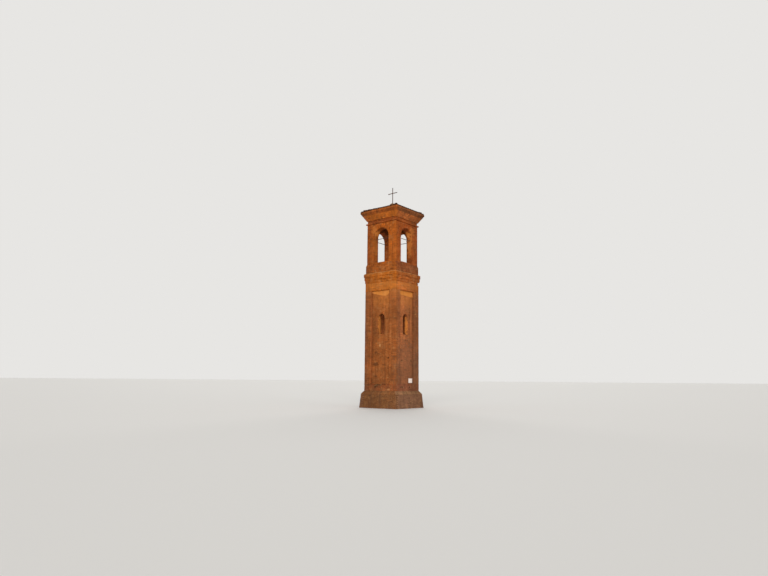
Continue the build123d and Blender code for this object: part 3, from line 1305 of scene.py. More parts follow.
@dataclass(frozen=True)
class BrickFinish:
    """Weathered brick and the lime mortar it lies in, with painted shade towards two corners, and named
    patches, some of them painted light or shade.
    """

    name: str
    clay: Colour
    pale_by: float = 1.24
    dark_by: float = 0.68
    lime_by: float = 1.08
    mortar_lime: float = 0.45
    soot: float = 0.30
    lime: float = 0.16
    wash: Pair = (90.0, 91.0)
    inner_by: Pair = (0.82, 1.10)
    patches: tuple[Patch, ...] = ()

    def weathered(self, coat: Coat, colour: object) -> Socket:
        """The colour after the weather, the painted shade towards two corners and the named patches.

        Args:
            coat: The material being mixed.
            colour: Its colour when clean.

        Returns:
            The colour.
        """
        low, high = self.wash
        given = {"Place": coat.place, "Color": colour, "Soot": self.soot, "Lime": self.lime}
        body = coat.use(WEATHERING_AND_SHADE, **given, Low=low, High=high)["Color"]
        for patch in self.patches:
            mask = coat.use(SPOT, Place=coat.place, Middle=patch.middle, Reach=patch.reach)["Mask"]
            hue, strength = patch.mark.value
            body = coat.tint(body, mask, strength, paint(hue))
        return body

    def bricks(self) -> Material:
        """The brick faces, whose tone differs from brick to brick.

        Returns:
            Their material.
        """
        coat = Coat(f"{self.name}_brick", roughness=0.88)
        clay = coat.fired(self.clay, self.pale_by, self.dark_by)
        return coat.finish(self.weathered(coat, clay["Color"]), clay["Height"], strength=0.55, height=0.003)

    def bedding(self, inside: float) -> Material:
        """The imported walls: mortar outside, plain coursed brick on the faces inside.

        Args:
            inside: How far out from the axis the inner faces reach.

        Returns:
            Their material.
        """
        coat = Coat(f"{self.name}_bed", roughness=0.93)
        lime = blend_colours(shade(self.clay, self.lime_by), BED_LIME, self.mortar_lime)
        mortar = coat.use(LIME_MORTAR, Place=coat.place, Lime=paint(lime))
        across, deep, height = coat.split(coat.place)
        flat = coat.node("ShaderNodeCombineXYZ", {0: coat.value("ADD", across, deep), 1: height}).outputs[0]
        clays = [paint(shade(self.clay, factor)) for factor in self.inner_by]
        courses = coat.coursed(flat, COURSE, clays, mortar["Color"], smooth=0.25)
        is_inside = coat.value("LESS_THAN", coat.larger(across, deep), inside + 2 * SLACK)
        colour = coat.mix(is_inside, mortar["Color"], courses["Color"])
        relief = coat.value("MULTIPLY", coat.value("SUBTRACT", 1.0, courses["Fac"]), is_inside)
        sand = coat.value("MULTIPLY", mortar["Height"], 0.5)
        grain = coat.value("ADD", sand, coat.value("MULTIPLY", relief, 2.0))
        return coat.finish(self.weathered(coat, colour), grain, strength=0.6, height=0.004)


@dataclass(frozen=True)
class TileFinish:
    """Clay roof tiles, some paler and some darker, with lichen and dark patches, and painted shade that darkens
    them towards the eaves.
    """

    clay: Colour = (96, 60, 42)
    lichen: Colour = (92, 88, 70)
    pale_by: float = 1.35
    dark_by: float = 0.55
    damp: Pair = (0.13, 0.05)

    def build(self) -> Material:
        """Mix the material.

        Returns:
            The material.
        """
        coat = Coat("clay_tile", roughness=0.86)
        clay = coat.fired(self.clay, self.pale_by, self.dark_by)
        lichen = coat.span(coat.noise(coat.place, 9.0, 5.0, 0.7), 0.55, 0.68, 0.0, 0.55)
        colour = coat.mix(lichen, clay["Color"], paint(self.lichen))
        across, deep, _ = coat.split(coat.place)
        # Painted shade: the tiles darken towards the eaves, their ends most.
        ends = [PLAN.eaves - distance for distance in self.damp]
        damp = coat.span(coat.larger(across, deep), *ends, 0.0, 0.75)
        film_and_eaves_shade = coat.value("MAXIMUM", damp, coat.span(coat.noise(coat.place, 1.4, 4.0), 0.4, 0.7, 0.0, 0.45))
        return coat.finish(coat.mix(film_and_eaves_shade, colour, paint(SOOT_AND_SHADE)), clay["Height"], strength=0.5, height=0.003)


@dataclass(frozen=True)
class PlasterFinish:
    """Old ochre plaster, chalky and stained."""

    ochre: Colour = (190, 117, 50)
    chalk: Colour = (206, 141, 77)
    stain: Colour = (132, 80, 44)

    def build(self) -> Material:
        """Mix the material.

        Returns:
            The material.
        """
        coat = Coat("ochre_plaster", roughness=0.92)
        chalk = coat.span(coat.noise(coat.place, 3.2, 5.0, 0.6), 0.38, 0.68)
        colour = coat.tint(paint(self.ochre), chalk, 0.45, paint(self.chalk))
        streaks = coat.noise(coat.stretched(coat.place, (7.0, 7.0, 1.2)), 1.0, 4.0)
        colour = coat.mix(coat.span(streaks, 0.52, 0.72, 0.0, 0.40), colour, paint(self.stain))
        fine = coat.value("MULTIPLY", coat.noise(coat.place, 90.0, 3.0), 0.5)
        trowel = coat.value("ADD", coat.noise(coat.place, 14.0, 4.0), fine)
        return coat.finish(colour, trowel, strength=0.5, height=0.004)


@dataclass(frozen=True)
class IronFinish:
    """Forged iron left bare to the weather."""

    metallic: float = 0.25

    def build(self) -> Material:
        """Mix the material.

        Returns:
            The material.
        """
        coat = Coat("rusted_iron", roughness=0.72, gloss=0.4)
        rust = coat.use(RUST, Place=coat.place)
        coat.shader["Metallic"].default_value = self.metallic
        return coat.finish(rust["Color"], rust["Height"], strength=0.5, height=0.0015)


@dataclass(frozen=True)
class BoardFinish:
    """A blank board, painted off-white, with edges grimed by the weather and rust below its screws."""

    white: Colour = (222, 208, 200)
    grime: Colour = (148, 116, 92)
    drip: Colour = (168, 120, 84)

    def build(self, middle: Vector, half: Vector) -> Material:
        """Mix the material.

        Args:
            middle: The board's middle.
            half: Half its size.

        Returns:
            The material.
        """
        coat = Coat("board_paint", roughness=0.55, gloss=0.4)
        _, across, up = coat.split(coat.vector("SUBTRACT", coat.place, tuple(middle))[0])
        edge = coat.larger(coat.value("DIVIDE", across, half.y), coat.value("DIVIDE", up, half.z))
        grime = coat.value("ADD", edge, coat.span(coat.noise(coat.place, 12.0, 4.0), 0.2, 0.8, -0.12, 0.12))
        colour = coat.mix(coat.span(grime, 0.86, 1.04, 0.0, 0.55), paint(self.white), paint(self.grime))
        drips = coat.noise(coat.stretched(coat.place, (1.0, 42.0, 3.0)), 1.0, 2.0)
        colour = coat.mix(coat.span(drips, 0.58, 0.72, 0.0, 0.22), colour, paint(self.drip))
        return coat.finish(colour, coat.noise(coat.place, 60.0, 3.0), strength=0.15, height=0.001)


@dataclass(frozen=True)
class PavingFinish:
    """Dusty brick paving."""

    clay: Colour = (122, 82, 54)
    dust: Colour = (142, 118, 92)
    dark_by: float = 0.78
    joint_by: float = 1.18

    def build(self) -> Material:
        """Mix the material.

        Returns:
            The material.
        """
        coat = Coat("paving", roughness=0.92)
        clays = (paint(self.clay), paint(shade(self.clay, self.dark_by)))
        joints = paint(shade(self.clay, self.joint_by))
        bricks = coat.coursed(coat.place, HALF_BRICK, clays, joints, smooth=0.1)
        dust = coat.span(coat.noise(coat.place, 2.2, 5.0, 0.65), 0.38, 0.66, 0.0, 0.65)
        colour = coat.mix(dust, bricks["Color"], paint(self.dust))
        grain = coat.value("SUBTRACT", coat.noise(coat.place, 60.0), bricks["Fac"])
        return coat.finish(colour, grain, strength=0.5, height=0.003)


class StoreyLook:
    """The materials of one storey: its bricks and beds, warmer on the front and back than on the flanks. The
    two clays are partly the bricks' own colour and partly painted light, set apart because the front and the
    right side are lit differently.
    """

    def __init__(self, name: str, front: Colour, flank: Colour, inside: float, **options: object) -> None:
        """Make the four materials.

        Args:
            name: The storey's name.
            front: The clay on the front and the back.
            flank: The clay on the right and the left.
            inside: How far out the inner faces of its walls reach.
            options: What the brick finish takes besides.
        """
        pair = (("front", front), ("flank", flank))
        both = [BrickFinish(f"{name}_{end}", clay, **options) for end, clay in pair]
        self.brick_faces = [finish.bricks() for finish in both]
        self.beds = [finish.bedding(inside) for finish in both]

    def bricks(self, side: Side) -> Material:
        """The brick faces' material on a side."""
        return self.brick_faces[side.value // 90 % 2]

    def bedding(self, side: Side) -> Material:
        """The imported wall's material on a side."""
        return self.beds[side.value // 90 % 2]


def dress_node(node: str, material: Material) -> None:
    """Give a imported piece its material. Its mesh stays as it is.

    Args:
        node: The piece's name.
        material: The material.
    """
    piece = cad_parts[node]
    piece.data.materials.clear()
    piece.data.materials.append(material)
    log.info("%s: %s", node, material.name)


@dataclass
class Masonry:
    """A sub-assembly of brickwork."""

    probe: WallProbe
    slot: str

    def pile(self, name: str, side: Side, seed: int, look: StoreyLook) -> BrickPile:
        """Start the pile of one side's bricks."""
        named = f"{name}_{side.label}"
        return BrickPile(named, seed + side.value, self.probe, look.bricks(side), self.slot)


@dataclass
class Plinth(Masonry):
    """The battered plinth, the bricks on edge down its slope, and the base band above."""

    slot: str = "plinth_brick"
    overhang: float = 0.012
    lost: tuple[Pocket, ...] = (
        (Side.FRONT, -3, 4, 21), (Side.FRONT, -3, 2, 20), (Side.FRONT, -3, 1, 19),
        (Side.RIGHT, -4, 1, 19), (Side.RIGHT, 1.5, 1, 19),
    )
    lower: StoreyLook = field(init=False)
    slope: StoreyLook = field(init=False)
    band: StoreyLook = field(init=False)

    def __post_init__(self) -> None:
        """Mix the finishes."""
        inside = PLAN.panel_half
        holes = tuple(Patch.in_pocket(PLAN.shaft, pocket) for pocket in self.lost)
        self.lower = StoreyLook(
            "plinth", (105, 63, 33), (116, 79, 58), inside, lime=0.12, soot=0.34, patches=holes,
        )
        self.slope = StoreyLook("plinth_slope", (119, 73, 39), (143, 102, 70), inside, lime=0.20)
        light = Patch(Mark.LIME, (0.78, -1.295, 1.215), (0.13, 0.2, 0.07))
        # Painted shade of an eroded crevice along the top of the base band, laid with the dirt mark
        crevice_shade = Patch(Mark.DIRT, (0.36, -1.295, 1.515), (0.30, 0.08, 0.03))
        marks = (light, crevice_shade, *holes)
        self.band = StoreyLook("base_band", (133, 67, 30), (128, 71, 47), inside, patches=marks)

    def build(self) -> None:
        """Lay the three on every side."""
        for side in Side:
            body = self.pile("plinth_bricks", side, 100, self.lower)
            Storey(body, side, PLAN.batter, 0, BATTER_TOP, foot_half=PLAN.foot).lay()
            body.finish()
            slope = self.pile("plinth_coping", side, 101, self.slope)
            low, high = (PLAN.batter, level(BATTER_TOP)), (PLAN.shaft, level(PLINTH_SLOPE_TOP))
            lay_coping(slope, side, low, high, self.overhang)
            slope.finish()
            band = self.pile("base_band_bricks", side, 102, self.band)
            Storey(band, side, PLAN.shaft, PLINTH_SLOPE_TOP, BASE_BAND_TOP, top_shows=True).lay()
            band.finish()
            dress_node(f"plinth_{side.label}", self.lower.bedding(side))


# The piers at the tower's corners, named by their face and the hand that they are on
CORNER_PIERS = [(face, hand) for face in (Side.FRONT, Side.BACK) for hand in (Side.LEFT, Side.RIGHT)]


def lay_piers(pile: BrickPile, side: Side, first: int, last: int) -> None:
    """Lay the two corner piers of a side of the shaft, whose inner ends show as well.

    Args:
        pile: The pile they go to.
        side: The side of the tower.
        first: The first course.
        last: The course after the last.
    """
    facing = Facing.upright(side, PLAN.shaft)
    unit = (PLAN.shaft - PLAN.panel_half + JOINT) / 3.5
    for course in range(first, last):
        low, high = level(course) + JOINT / 2, level(course + 1) - JOINT / 2
        is_even = course % 2 == 0
        right_pier = [1.0, 1.5] if is_even else [1.5]
        left_pier = [1.5] if is_even else [1.0, 1.5]
        for hand, sizes in ((1, right_pier), (-1, left_pier)):
            place = PLAN.panel_half
            for size in sizes:
                is_end = place == PLAN.panel_half
                inner = place - (PROUD if is_end else 0.0)
                outer = place + size * unit - JOINT
                left, right = sorted((hand * inner, hand * outer))
                deep = HALF_BRICK - JOINT / 2
                pile.lay_box(facing, left, right, low, high, all_round=is_end, depth=deep)
                place += size * unit
        corner = PLAN.panel_half + sum(right_pier) * unit
        deep = (2 if is_even else 1) * unit - JOINT
        pile.lay_box(facing, corner, PLAN.shaft + PROUD, low, high, all_round=True, depth=deep)


@dataclass
class Shaft(Masonry):
    """The tall shaft: corner piers, sunk panels with their slit windows, and the frieze over them."""

    slot: str = "shaft_brick"
    blind_side: Side = Side.LEFT
    stumps: tuple[Triple, ...] = ((118, 0.145, 0.020), (119, 0.189, 0.006), (120, 0.189, 0.028))
    lost: tuple[Pocket, ...] = ((Side.FRONT, 4, 1, 46), (Side.RIGHT, -3, 1, 44), (Side.RIGHT, 4, 1, 44))
    # How much paler than the clay the inner faces are painted: painted light inside the shaft, seen through the
    # slits
    dusty: Pair = (1.35, 1.60)
    piers: StoreyLook = field(init=False)
    panels: StoreyLook = field(init=False)
    frieze: StoreyLook = field(init=False)

    def __post_init__(self) -> None:
        """Mix the finishes, with the stained patches that the photograph shows, and with painted light on the
        slits' jambs, on a pier's return and on the inner faces seen through the slits.
        """
        inside = PLAN.panel_half
        stains_and_painted_light = (
            *(Patch.in_pocket(PLAN.panel, pocket) for pocket in self.lost),
            # Painted light on the shaded return of the left pier, beside the front panel
            Patch(Mark.RINSED, (-PLAN.panel_half, -1.22, 4.6), (0.03, 0.09, 4.0)),
            Patch(Mark.DIRT, (-0.81, -1.15, 3.33), (0.08, 0.05, 0.06)),
            Patch(Mark.DIRT, (0.61, -1.16, 3.26), (0.08, 0.2, 0.07)),
            Patch(Mark.DIRT, (-0.45, -1.15, 2.86), (0.28, 0.2, 0.12)),
            Patch(Mark.SMUDGE, (-0.44, -1.15, 4.98), (0.22, 0.2, 0.30)),
            Patch(Mark.LIME, (-0.08, -1.15, 4.09), (0.12, 0.2, 0.09)),
            Patch(Mark.RINSED, (1.16, 0.56, 5.50), (0.10, 0.13, 0.68)),
            Patch(Mark.DUST, (1.22, 0.15, 2.5), (0.4, 1.5, 2.1)),
            # Painted light on the shaded jambs of the front and right slits
            Patch(Mark.PLASTER, (-0.26, -0.95, 5.42), (0.035, 0.24, 0.72)),
            Patch(Mark.PLASTER, (0.99, 0.26, 5.50), (0.16, 0.035, 0.76)),
        )
        shared_options = {"inner_by": self.dusty, "patches": stains_and_painted_light}
        self.piers = StoreyLook("shaft_pier", (140, 75, 32), (133, 75, 43), inside, wash=(7.3, 8.3), **shared_options)
        self.panels = StoreyLook("shaft_panel", (143, 77, 32), (159, 90, 49), inside, wash=(6.6, 7.5), **shared_options)
        # The frieze is painted paler than the panels, and paler still over its upper part: painted light on
        # this band.
        self.frieze = StoreyLook("frieze", (175, 96, 28), (164, 87, 34), inside, soot=0.16, wash=(8.0, 8.4))

    def lay_stumps(self, pile: BrickPile) -> None:
        """Lay what is left of the lost corner bricks under the string course, at the back of the right side.

        Args:
            pile: The pile they go to.
        """
        for course, reach, back in self.stumps:
            low, high = level(course) + JOINT / 2, level(course + 1) - JOINT / 2
            left, right = PLAN.shaft - reach + JOINT, PLAN.shaft - back
            corners = ((left, low), (right, low), (left, high), (right - 2 * JOINT, high - JOINT))
            pile.lay(
                Facing.upright(Side.RIGHT, PLAN.shaft), corners, depth=reach - JOINT - back,
                start=back, proud=0.0, all_round=True, probed=False,
            )

    def build(self) -> None:
        """Lay piers, panels and frieze on every side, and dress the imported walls."""
        for side in Side:
            piers = self.pile("shaft_pier_bricks", side, 200, self.piers)
            lay_piers(piers, side, BASE_BAND_TOP, PANEL_TOP)
            piers.finish()
            panel = self.pile("shaft_panel_bricks", side, 201, self.panels)
            is_blind = side is self.blind_side
            Storey(
                panel, side, PLAN.panel, BASE_BAND_TOP, PANEL_TOP, from_left=-PLAN.panel_half + JOINT / 2,
                to_right=PLAN.panel_half - JOINT / 2, opening=None if is_blind else SLIT,
            ).lay()
            if not is_blind:
                lay_ring(panel, Facing.upright(side, PLAN.panel), SLIT, long_only=True)
            panel.finish()
            frieze = self.pile("frieze_bricks", side, 202, self.frieze)
            Storey(frieze, side, PLAN.shaft, PANEL_TOP, FRIEZE_TOP, underside_shows=True).lay()
            if side is Side.RIGHT:
                self.lay_stumps(frieze)
            frieze.finish()
            dress_node(f"shaft_panel_{side.label}", self.panels.bedding(side))
        for face, hand in CORNER_PIERS:
            dress_node(f"shaft_pier_{face.label}_{hand.label}", self.piers.bedding(face))


@dataclass
class StringCourse(Masonry):
    """The string course, which steps out three times under its sloping top."""

    slot: str = "shaft_brick"
    look: StoreyLook = field(init=False)

    def __post_init__(self) -> None:
        """Mix the finish."""
        self.look = StoreyLook("string_course", (166, 87, 20), (158, 82, 31), PLAN.panel_half, lime=0.24)

    def build(self) -> None:
        """Lay the three steps on every side."""
        steps = (STRING_TOP - FRIEZE_TOP) // STRING_STEP
        out = (PLAN.string - PLAN.shaft) / steps
        for side in Side:
            pile = self.pile("string_course_bricks", side, 300, self.look)
            for step in range(steps):
                half = PLAN.shaft + (step + 1) * out
                first = FRIEZE_TOP + step * STRING_STEP
                Storey(pile, side, half, first, first + STRING_STEP, underside_shows=True).lay()
            pile.finish()
            dress_node(f"string_course_{side.label}", self.look.bedding(side))


@dataclass
class Belfry(Masonry):
    """The open bell chamber: parapet, sills, arched walls and the paved floor."""

    slot: str = "belfry_brick"
    sill_low: Pair = (1.255, 9.712)
    sill_high: Pair = (0.785, 9.730)
    sill_bricks: int = 17
    sill_depth: float = 0.048
    sill_gap: float = 0.004
    parapet: StoreyLook = field(init=False)
    walls: StoreyLook = field(init=False)

    def __post_init__(self) -> None:
        """Mix the finishes."""
        inside = PLAN.belfry_inner
        self.parapet = StoreyLook(
            "parapet", (145, 74, 22), (128, 66, 32), inside, mortar_lime=DARK_MORTAR, lime=0.20,
        )
        # Painted light on the shaded reveals of the front and right arches: their jambs, their soffits and the
        # faces round their heads
        ochre = (
            Patch(Mark.PLASTER, (-0.52, -0.95, 11.80), (0.15, 0.25, 0.25)),
            Patch(Mark.PAINTED_LIGHT_FAINT, (-0.62, -1.25, 12.00), (0.22, 0.09, 0.28)),
            Patch(Mark.PAINTED_LIGHT_FAINT, (-0.62, -1.00, 10.90), (0.06, 0.30, 0.95)),
            Patch(Mark.PLASTER, (0.95, 0.50, 11.80), (0.25, 0.20, 0.25)),
            Patch(Mark.PAINTED_LIGHT_FAINT, (1.25, 0.60, 12.00), (0.09, 0.35, 0.30)),
            Patch(Mark.PAINTED_LIGHT_HALF, (1.00, 0.62, 11.05), (0.30, 0.06, 0.80)),
        )
        self.walls = StoreyLook(
            "belfry", (160, 80, 20), (148, 70, 23), inside, mortar_lime=DARK_MORTAR, patches=ochre,
        )

    def lay_sill(self, pile: BrickPile, side: Side) -> None:
        """Lay the bricks on edge across one arch's foot, in two rows that fall outwards.

        Args:
            pile: The pile they go to.
            side: The side of the tower.
        """
        facing = Facing.sloping(side, self.sill_low, self.sill_high)
        reach = BELFRY_ARCH.half - PROUD
        width = 2 * reach / self.sill_bricks
        end = math.dist(self.sill_low, self.sill_high) - self.sill_gap
        how = {"depth": self.sill_depth, "all_round": True, "probed": False}
        for index in range(self.sill_bricks):
            left = index * width - reach + JOINT / 2
            for low, high in ((-PROUD, STRETCHER), (STRETCHER + JOINT, end)):
                pile.lay_box(facing, left, left + width - JOINT, low, high, **how)

    def build(self) -> None:
        """Lay everything on every side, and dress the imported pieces."""
        for side in Side:
            low = self.pile("parapet_bricks", side, 400, self.parapet)
            Storey(low, side, PLAN.pedestal, STRING_TOP + 1, PEDESTAL_TOP).lay()
            lay_coping(low, side, (PLAN.pedestal, level(PEDESTAL_TOP)), (PLAN.belfry, level(BELFRY_BED)))
            low.finish()
            wall = self.pile("belfry_bricks", side, 401, self.walls)
            Storey(wall, side, PLAN.belfry, BELFRY_BED, BELFRY_TOP, opening=BELFRY_ARCH).lay()
            lay_ring(wall, Facing.upright(side, PLAN.belfry), BELFRY_ARCH, long_only=False)
            self.lay_sill(wall, side)
            wall.finish()
            dress_node(f"belfry_parapet_{side.label}", self.parapet.bedding(side))
            dress_node(f"arch_wall_{side.label}", self.walls.bedding(side))
        for face, hand in CORNER_PIERS:
            dress_node(f"belfry_pier_{face.label}_{hand.label}", self.walls.bedding(face))
        dress_node("belfry_sills", self.walls.bedding(Side.FRONT))
        dress_node("bell_chamber_floor", PavingFinish().build())


@dataclass
class Cornice(Masonry):
    """The belt, the plain band and the nine corbelled courses, mitred round the four sides."""

    slot: str = "belfry_brick"
    first_dark: int = 5
    lower: StoreyLook = field(init=False)
    corbels: StoreyLook = field(init=False)
    fascia: StoreyLook = field(init=False)

    def __post_init__(self) -> None:
        """Mix the finishes."""
        inside, shared_options = PLAN.belfry_inner, {"mortar_lime": DARK_MORTAR, "lime": 0.10}
        self.lower = StoreyLook("band", (136, 63, 20), (147, 70, 21), inside, **shared_options)
        # The corbels are painted paler than the band and the fascia: painted light, as from light falling on
        # the corbels from below.
        self.corbels = StoreyLook("corbels", (175, 96, 33), (174, 98, 49), inside, **shared_options)
        # The fascia is darker than the corbels, with stronger dark streaks.
        self.fascia = StoreyLook("fascia", (142, 74, 27), (122, 70, 37), inside, soot=0.42, **shared_options)

    def build(self) -> None:
        """Lay every course on every side."""
        courses = CORNICE_TOP - BAND_TOP
        out = (PLAN.cornice - PLAN.corbel) / (courses - FASCIA_COURSES)
        for side in Side:
            band = self.pile("band_bricks", side, 500, self.lower)
            lay_headers(band, side, PLAN.belt, BELFRY_TOP)
            Storey(band, side, PLAN.band, BELT_TOP, BAND_TOP).lay()
            band.finish()
            corbels = self.pile("corbel_bricks", side, 501, self.corbels)
            fascia = self.pile("fascia_bricks", side, 502, self.fascia)
            for index in range(courses):
                pile = corbels if index < self.first_dark else fascia
                lay_headers(pile, side, min(PLAN.cornice, PLAN.corbel + index * out), BAND_TOP + index)
            corbels.finish()
            fascia.finish()
            dress_node(f"cornice_{side.label}", self.fascia.bedding(side))


@dataclass(frozen=True)
class BarrelTile:
    """A half-round clay tile, narrower at its upper end."""

    radius: float
    length: float
    thickness: float = 0.013
    taper: float = 0.86
    sweep: float = math.radians(130)
    steps: int = 8

    def shape(self) -> Shape:
        """Spin the tile's thickness round its axis and draw it out along the slope.

        Returns:
            The tile, with its lower end at the origin.
        """
        shape = bmesh.new()
        start = -self.sweep / 2
        ends = [
            shape.verts.new((math.sin(start) * reach, 0, math.cos(start) * reach))
            for reach in (self.radius - self.thickness, self.radius)
        ]
        profile = [*ends, shape.edges.new(ends)]
        bmesh.ops.spin(shape, geom=profile, axis=(0, 1, 0), angle=self.sweep, steps=self.steps)
        far, _ = draw_out(shape, shape.faces, (0, self.length, 0))
        bmesh.ops.scale(shape, verts=far, vec=(self.taper, 1, self.taper))
        bmesh.ops.remove_doubles(shape, verts=shape.verts, dist=1e-6)
        bmesh.ops.recalc_face_normals(shape, faces=shape.faces)
        return shape


class TileField:
    """The tiles of one piece, each placed and where needed cut, gathered to be joined."""

    firing: Pair = (0.5, 0.2)
    skew: float = 0.014
    tip: float = 0.008

    def __init__(self, name: str, seed: int) -> None:
        """Start with no tile.

        Args:
            name: The piece's name.
            seed: The seed of its unevenness.
        """
        self.name = name
        self.random = np.random.default_rng(seed)
        self.parts: list[Copies] = []

    def add(self, shape: Shape, tone: float | None = None) -> None:
        """Take a placed shape in and free it.

        Args:
            shape: The shape.
            tone: Its tone, or None to draw one.
        """
        shape.verts.index_update()
        places = np.array([[vertex.co[:] for vertex in shape.verts]])
        faces = [[vertex.index for vertex in face.verts] for face in shape.faces]
        own = float(np.clip(self.random.normal(*self.firing), 0, 1)) if tone is None else tone
        if faces:
            self.parts.append((places, faces, np.array([own])))
        shape.free()

    def lay(self, tile: BarrelTile, place: Matrix, cuts: Sequence[Vector] = ()) -> None:
        """Lay one tile.

        Args:
            tile: The kind of tile.
            place: Its place: across, up the slope and out as the first three columns.
            cuts: Outward normals of the planes through the tower's axis that cut it off.
        """
        shape = tile.shape()
        skewed = Matrix.Rotation(self.random.normal(0, self.skew), 4, "Z")
        tipped = Matrix.Rotation(self.random.normal(0, self.tip), 4, "X")
        bmesh.ops.transform(shape, matrix=place @ (skewed @ tipped), verts=shape.verts)
        for normal in cuts:
            if all(vertex.co.dot(normal) < 0.0 for vertex in shape.verts):
                continue
            geometry = [*shape.verts, *shape.edges, *shape.faces]
            bmesh.ops.bisect_plane(
                shape, geom=geometry, dist=1e-6, plane_co=(0, 0, 0), plane_no=normal, clear_outer=True,
            )
            rim = [edge for edge in shape.edges if edge.is_boundary]
            if rim:
                filled = bmesh.ops.holes_fill(shape, edges=rim, sides=0)
                bmesh.ops.triangulate(shape, faces=filled["faces"])
        self.add(shape)

    def finish(self, material: Material, slot: str, *nodes: str) -> None:
        """Join the tiles into a piece."""
        put(joined_mesh(self.name, self.parts), material, slot, *nodes)
        log.info("%s: %d shapes", self.name, len(self.parts))


def frame_of(facing: Facing, across: float, up: float, out: float) -> Matrix:
    """The placement of a tile on a facing."""
    turn = Matrix((facing.across, facing.up, facing.out)).transposed()
    return Matrix.Translation(facing.at(across, up, out)) @ turn.to_4x4()


@dataclass
class Roof:
    """The low pyramid roof: barrel tiles over pans on a bed, hip tiles, and the plain cap."""

    slot: str = "roof_tile"
    pitch: float = 0.2147
    exposure: float = 0.345
    edge: float = 0.075
    bed: float = 0.022
    bed_setback: float = 0.010
    bed_tone: float = 0.2
    pan_out: float = 0.101
    pan_lag: float = 0.020
    pan_lean: float = -0.020
    cover_out: float = -0.014
    cover_lean: float = -0.030
    first_up: float = 0.050
    apex_gap: float = 0.10
    past_hip: float = 0.08
    hip_setback: float = 0.160
    hip_sink: float = 0.046
    hip_lean: float = -0.028
    hip_end: float = 0.16
    hip_bed_tone: float = 0.1
    hip_bed_lead: float = 0.012
    hip_bed_end: float = 0.12
    hip_bed: tuple[Pair, ...] = (
        (-0.078, -0.065), (0.078, -0.065), (0.078, -0.012), (0.05, 0.022), (0.0, 0.036), (-0.05, 0.022),
        (-0.078, -0.012),
    )
    cover: BarrelTile = BarrelTile(radius=0.083, length=0.42)
    pan: BarrelTile = BarrelTile(radius=0.088, length=0.42, taper=1.0)
    hip: BarrelTile = BarrelTile(radius=0.105, length=0.40, sweep=math.radians(150))

    @property
    def rise(self) -> float:
        """How far the slopes rise for each metre inwards."""
        return (PLAN.apex_level - PLAN.eaves_level - self.edge) / PLAN.eaves

    def on_hip(self, side: Side, reach: float) -> Vector:
        """The point so far out on the hip line at the right end of a side."""
        height = PLAN.eaves_level + self.edge + (PLAN.eaves - reach) * self.rise
        return side.turn @ Vector((reach, -reach, height))

    def lay_bed(self, tiles: TileField, side: Side) -> None:
        """Lay the slope's bed, a thin triangular slab that stops short of the tiles' ends.

        Args:
            tiles: The field it goes to.
            side: The side of the tower.
        """
        reach = PLAN.eaves - self.bed_setback
        low = PLAN.eaves_level + self.bed_setback * self.rise
        corners = ((-reach, -reach, low), (reach, -reach, low), (0, 0, low + reach * self.rise))
        shape, _ = slab([side.turn @ Vector(corner) for corner in corners], (0, 0, self.bed))
        tiles.add(shape, self.bed_tone)

    def lay_slope(self, side: Side, material: Material) -> None:
        """Lay one slope's pans and covers, cut along the hips.

        Args:
            side: The side of the tower.
            material: The tiles' material.
        """
        tiles = TileField(f"roof_tiles_{side.label}", 600 + side.value)
        self.lay_bed(tiles, side)
        height = PLAN.eaves * self.rise
        facing = Facing.sloping(side, (PLAN.eaves, PLAN.eaves_level), (0.0, PLAN.eaves_level + height))
        length = math.hypot(PLAN.eaves, height)
        hips = [side.turn @ Vector((hand, 1, 0)).normalized() for hand in (-1, 1)]
        columns = int(PLAN.eaves / self.pitch)
        leaning, turned = Matrix.Rotation(self.cover_lean, 4, "X"), Matrix.Rotation(math.pi, 4, "Y")
        for row in range(math.ceil((length - self.apex_gap) / self.exposure)):
            up = self.first_up + row * self.exposure
            reach = PLAN.eaves * (1 - up / length) + self.past_hip
            for column in range(-columns, columns + 1):
                across = column * self.pitch
                if abs(across) < reach:
                    tiles.lay(self.cover, frame_of(facing, across, up, self.cover_out) @ leaning, hips)
                across = (column + 0.5) * self.pitch
                if abs(across) < reach:
                    place = frame_of(facing, across, up + self.pan_lag, self.pan_out)
                    tiles.lay(self.pan, place @ Matrix.Rotation(self.pan_lean, 4, "X") @ turned, hips)
        tiles.finish(material, self.slot, f"roof_slope_{side.label}")

    def lay_hips(self, material: Material) -> None:
        """Lay the four rows of hip tiles on their beds, from the corners up to the cap.

        Args:
            material: The tiles' material.
        """
        tiles = TileField("hip_tile_rows", 650)
        step = self.exposure / Vector((1, 1, self.rise)).length
        for side in Side:
            along = side.turn @ Vector((-1, 1, self.rise)).normalized()
            across = side.turn @ Vector((1, 1, 0)).normalized()
            out = across.cross(along)
            reach = PLAN.eaves - self.hip_setback
            foot, top = self.on_hip(side, reach - self.hip_bed_lead), self.on_hip(side, self.hip_bed_end)
            outline = [foot + across * aside + out * up for aside, up in self.hip_bed]
            tiles.add(slab(outline, top - foot)[0], self.hip_bed_tone)
            turn = Matrix((across, along, out)).transposed().to_4x4()
            while reach > self.hip_end:
                place = Matrix.Translation(self.on_hip(side, reach) - self.hip_sink * out) @ turn
                tiles.lay(self.hip, place @ Matrix.Rotation(self.hip_lean, 4, "X"))
                reach -= step
        tiles.finish(material, self.slot, "hip_tiles")

    def build(self) -> None:
        """Tile the four slopes and the hips, and dress the cap."""
        material = TileFinish().build()
        for side in Side:
            self.lay_slope(side, material)
        self.lay_hips(material)
        dress_node("roof_cap", BrickFinish("roof_cap", (88, 66, 52), soot=0.6, lime=0.10).bedding(0.0))


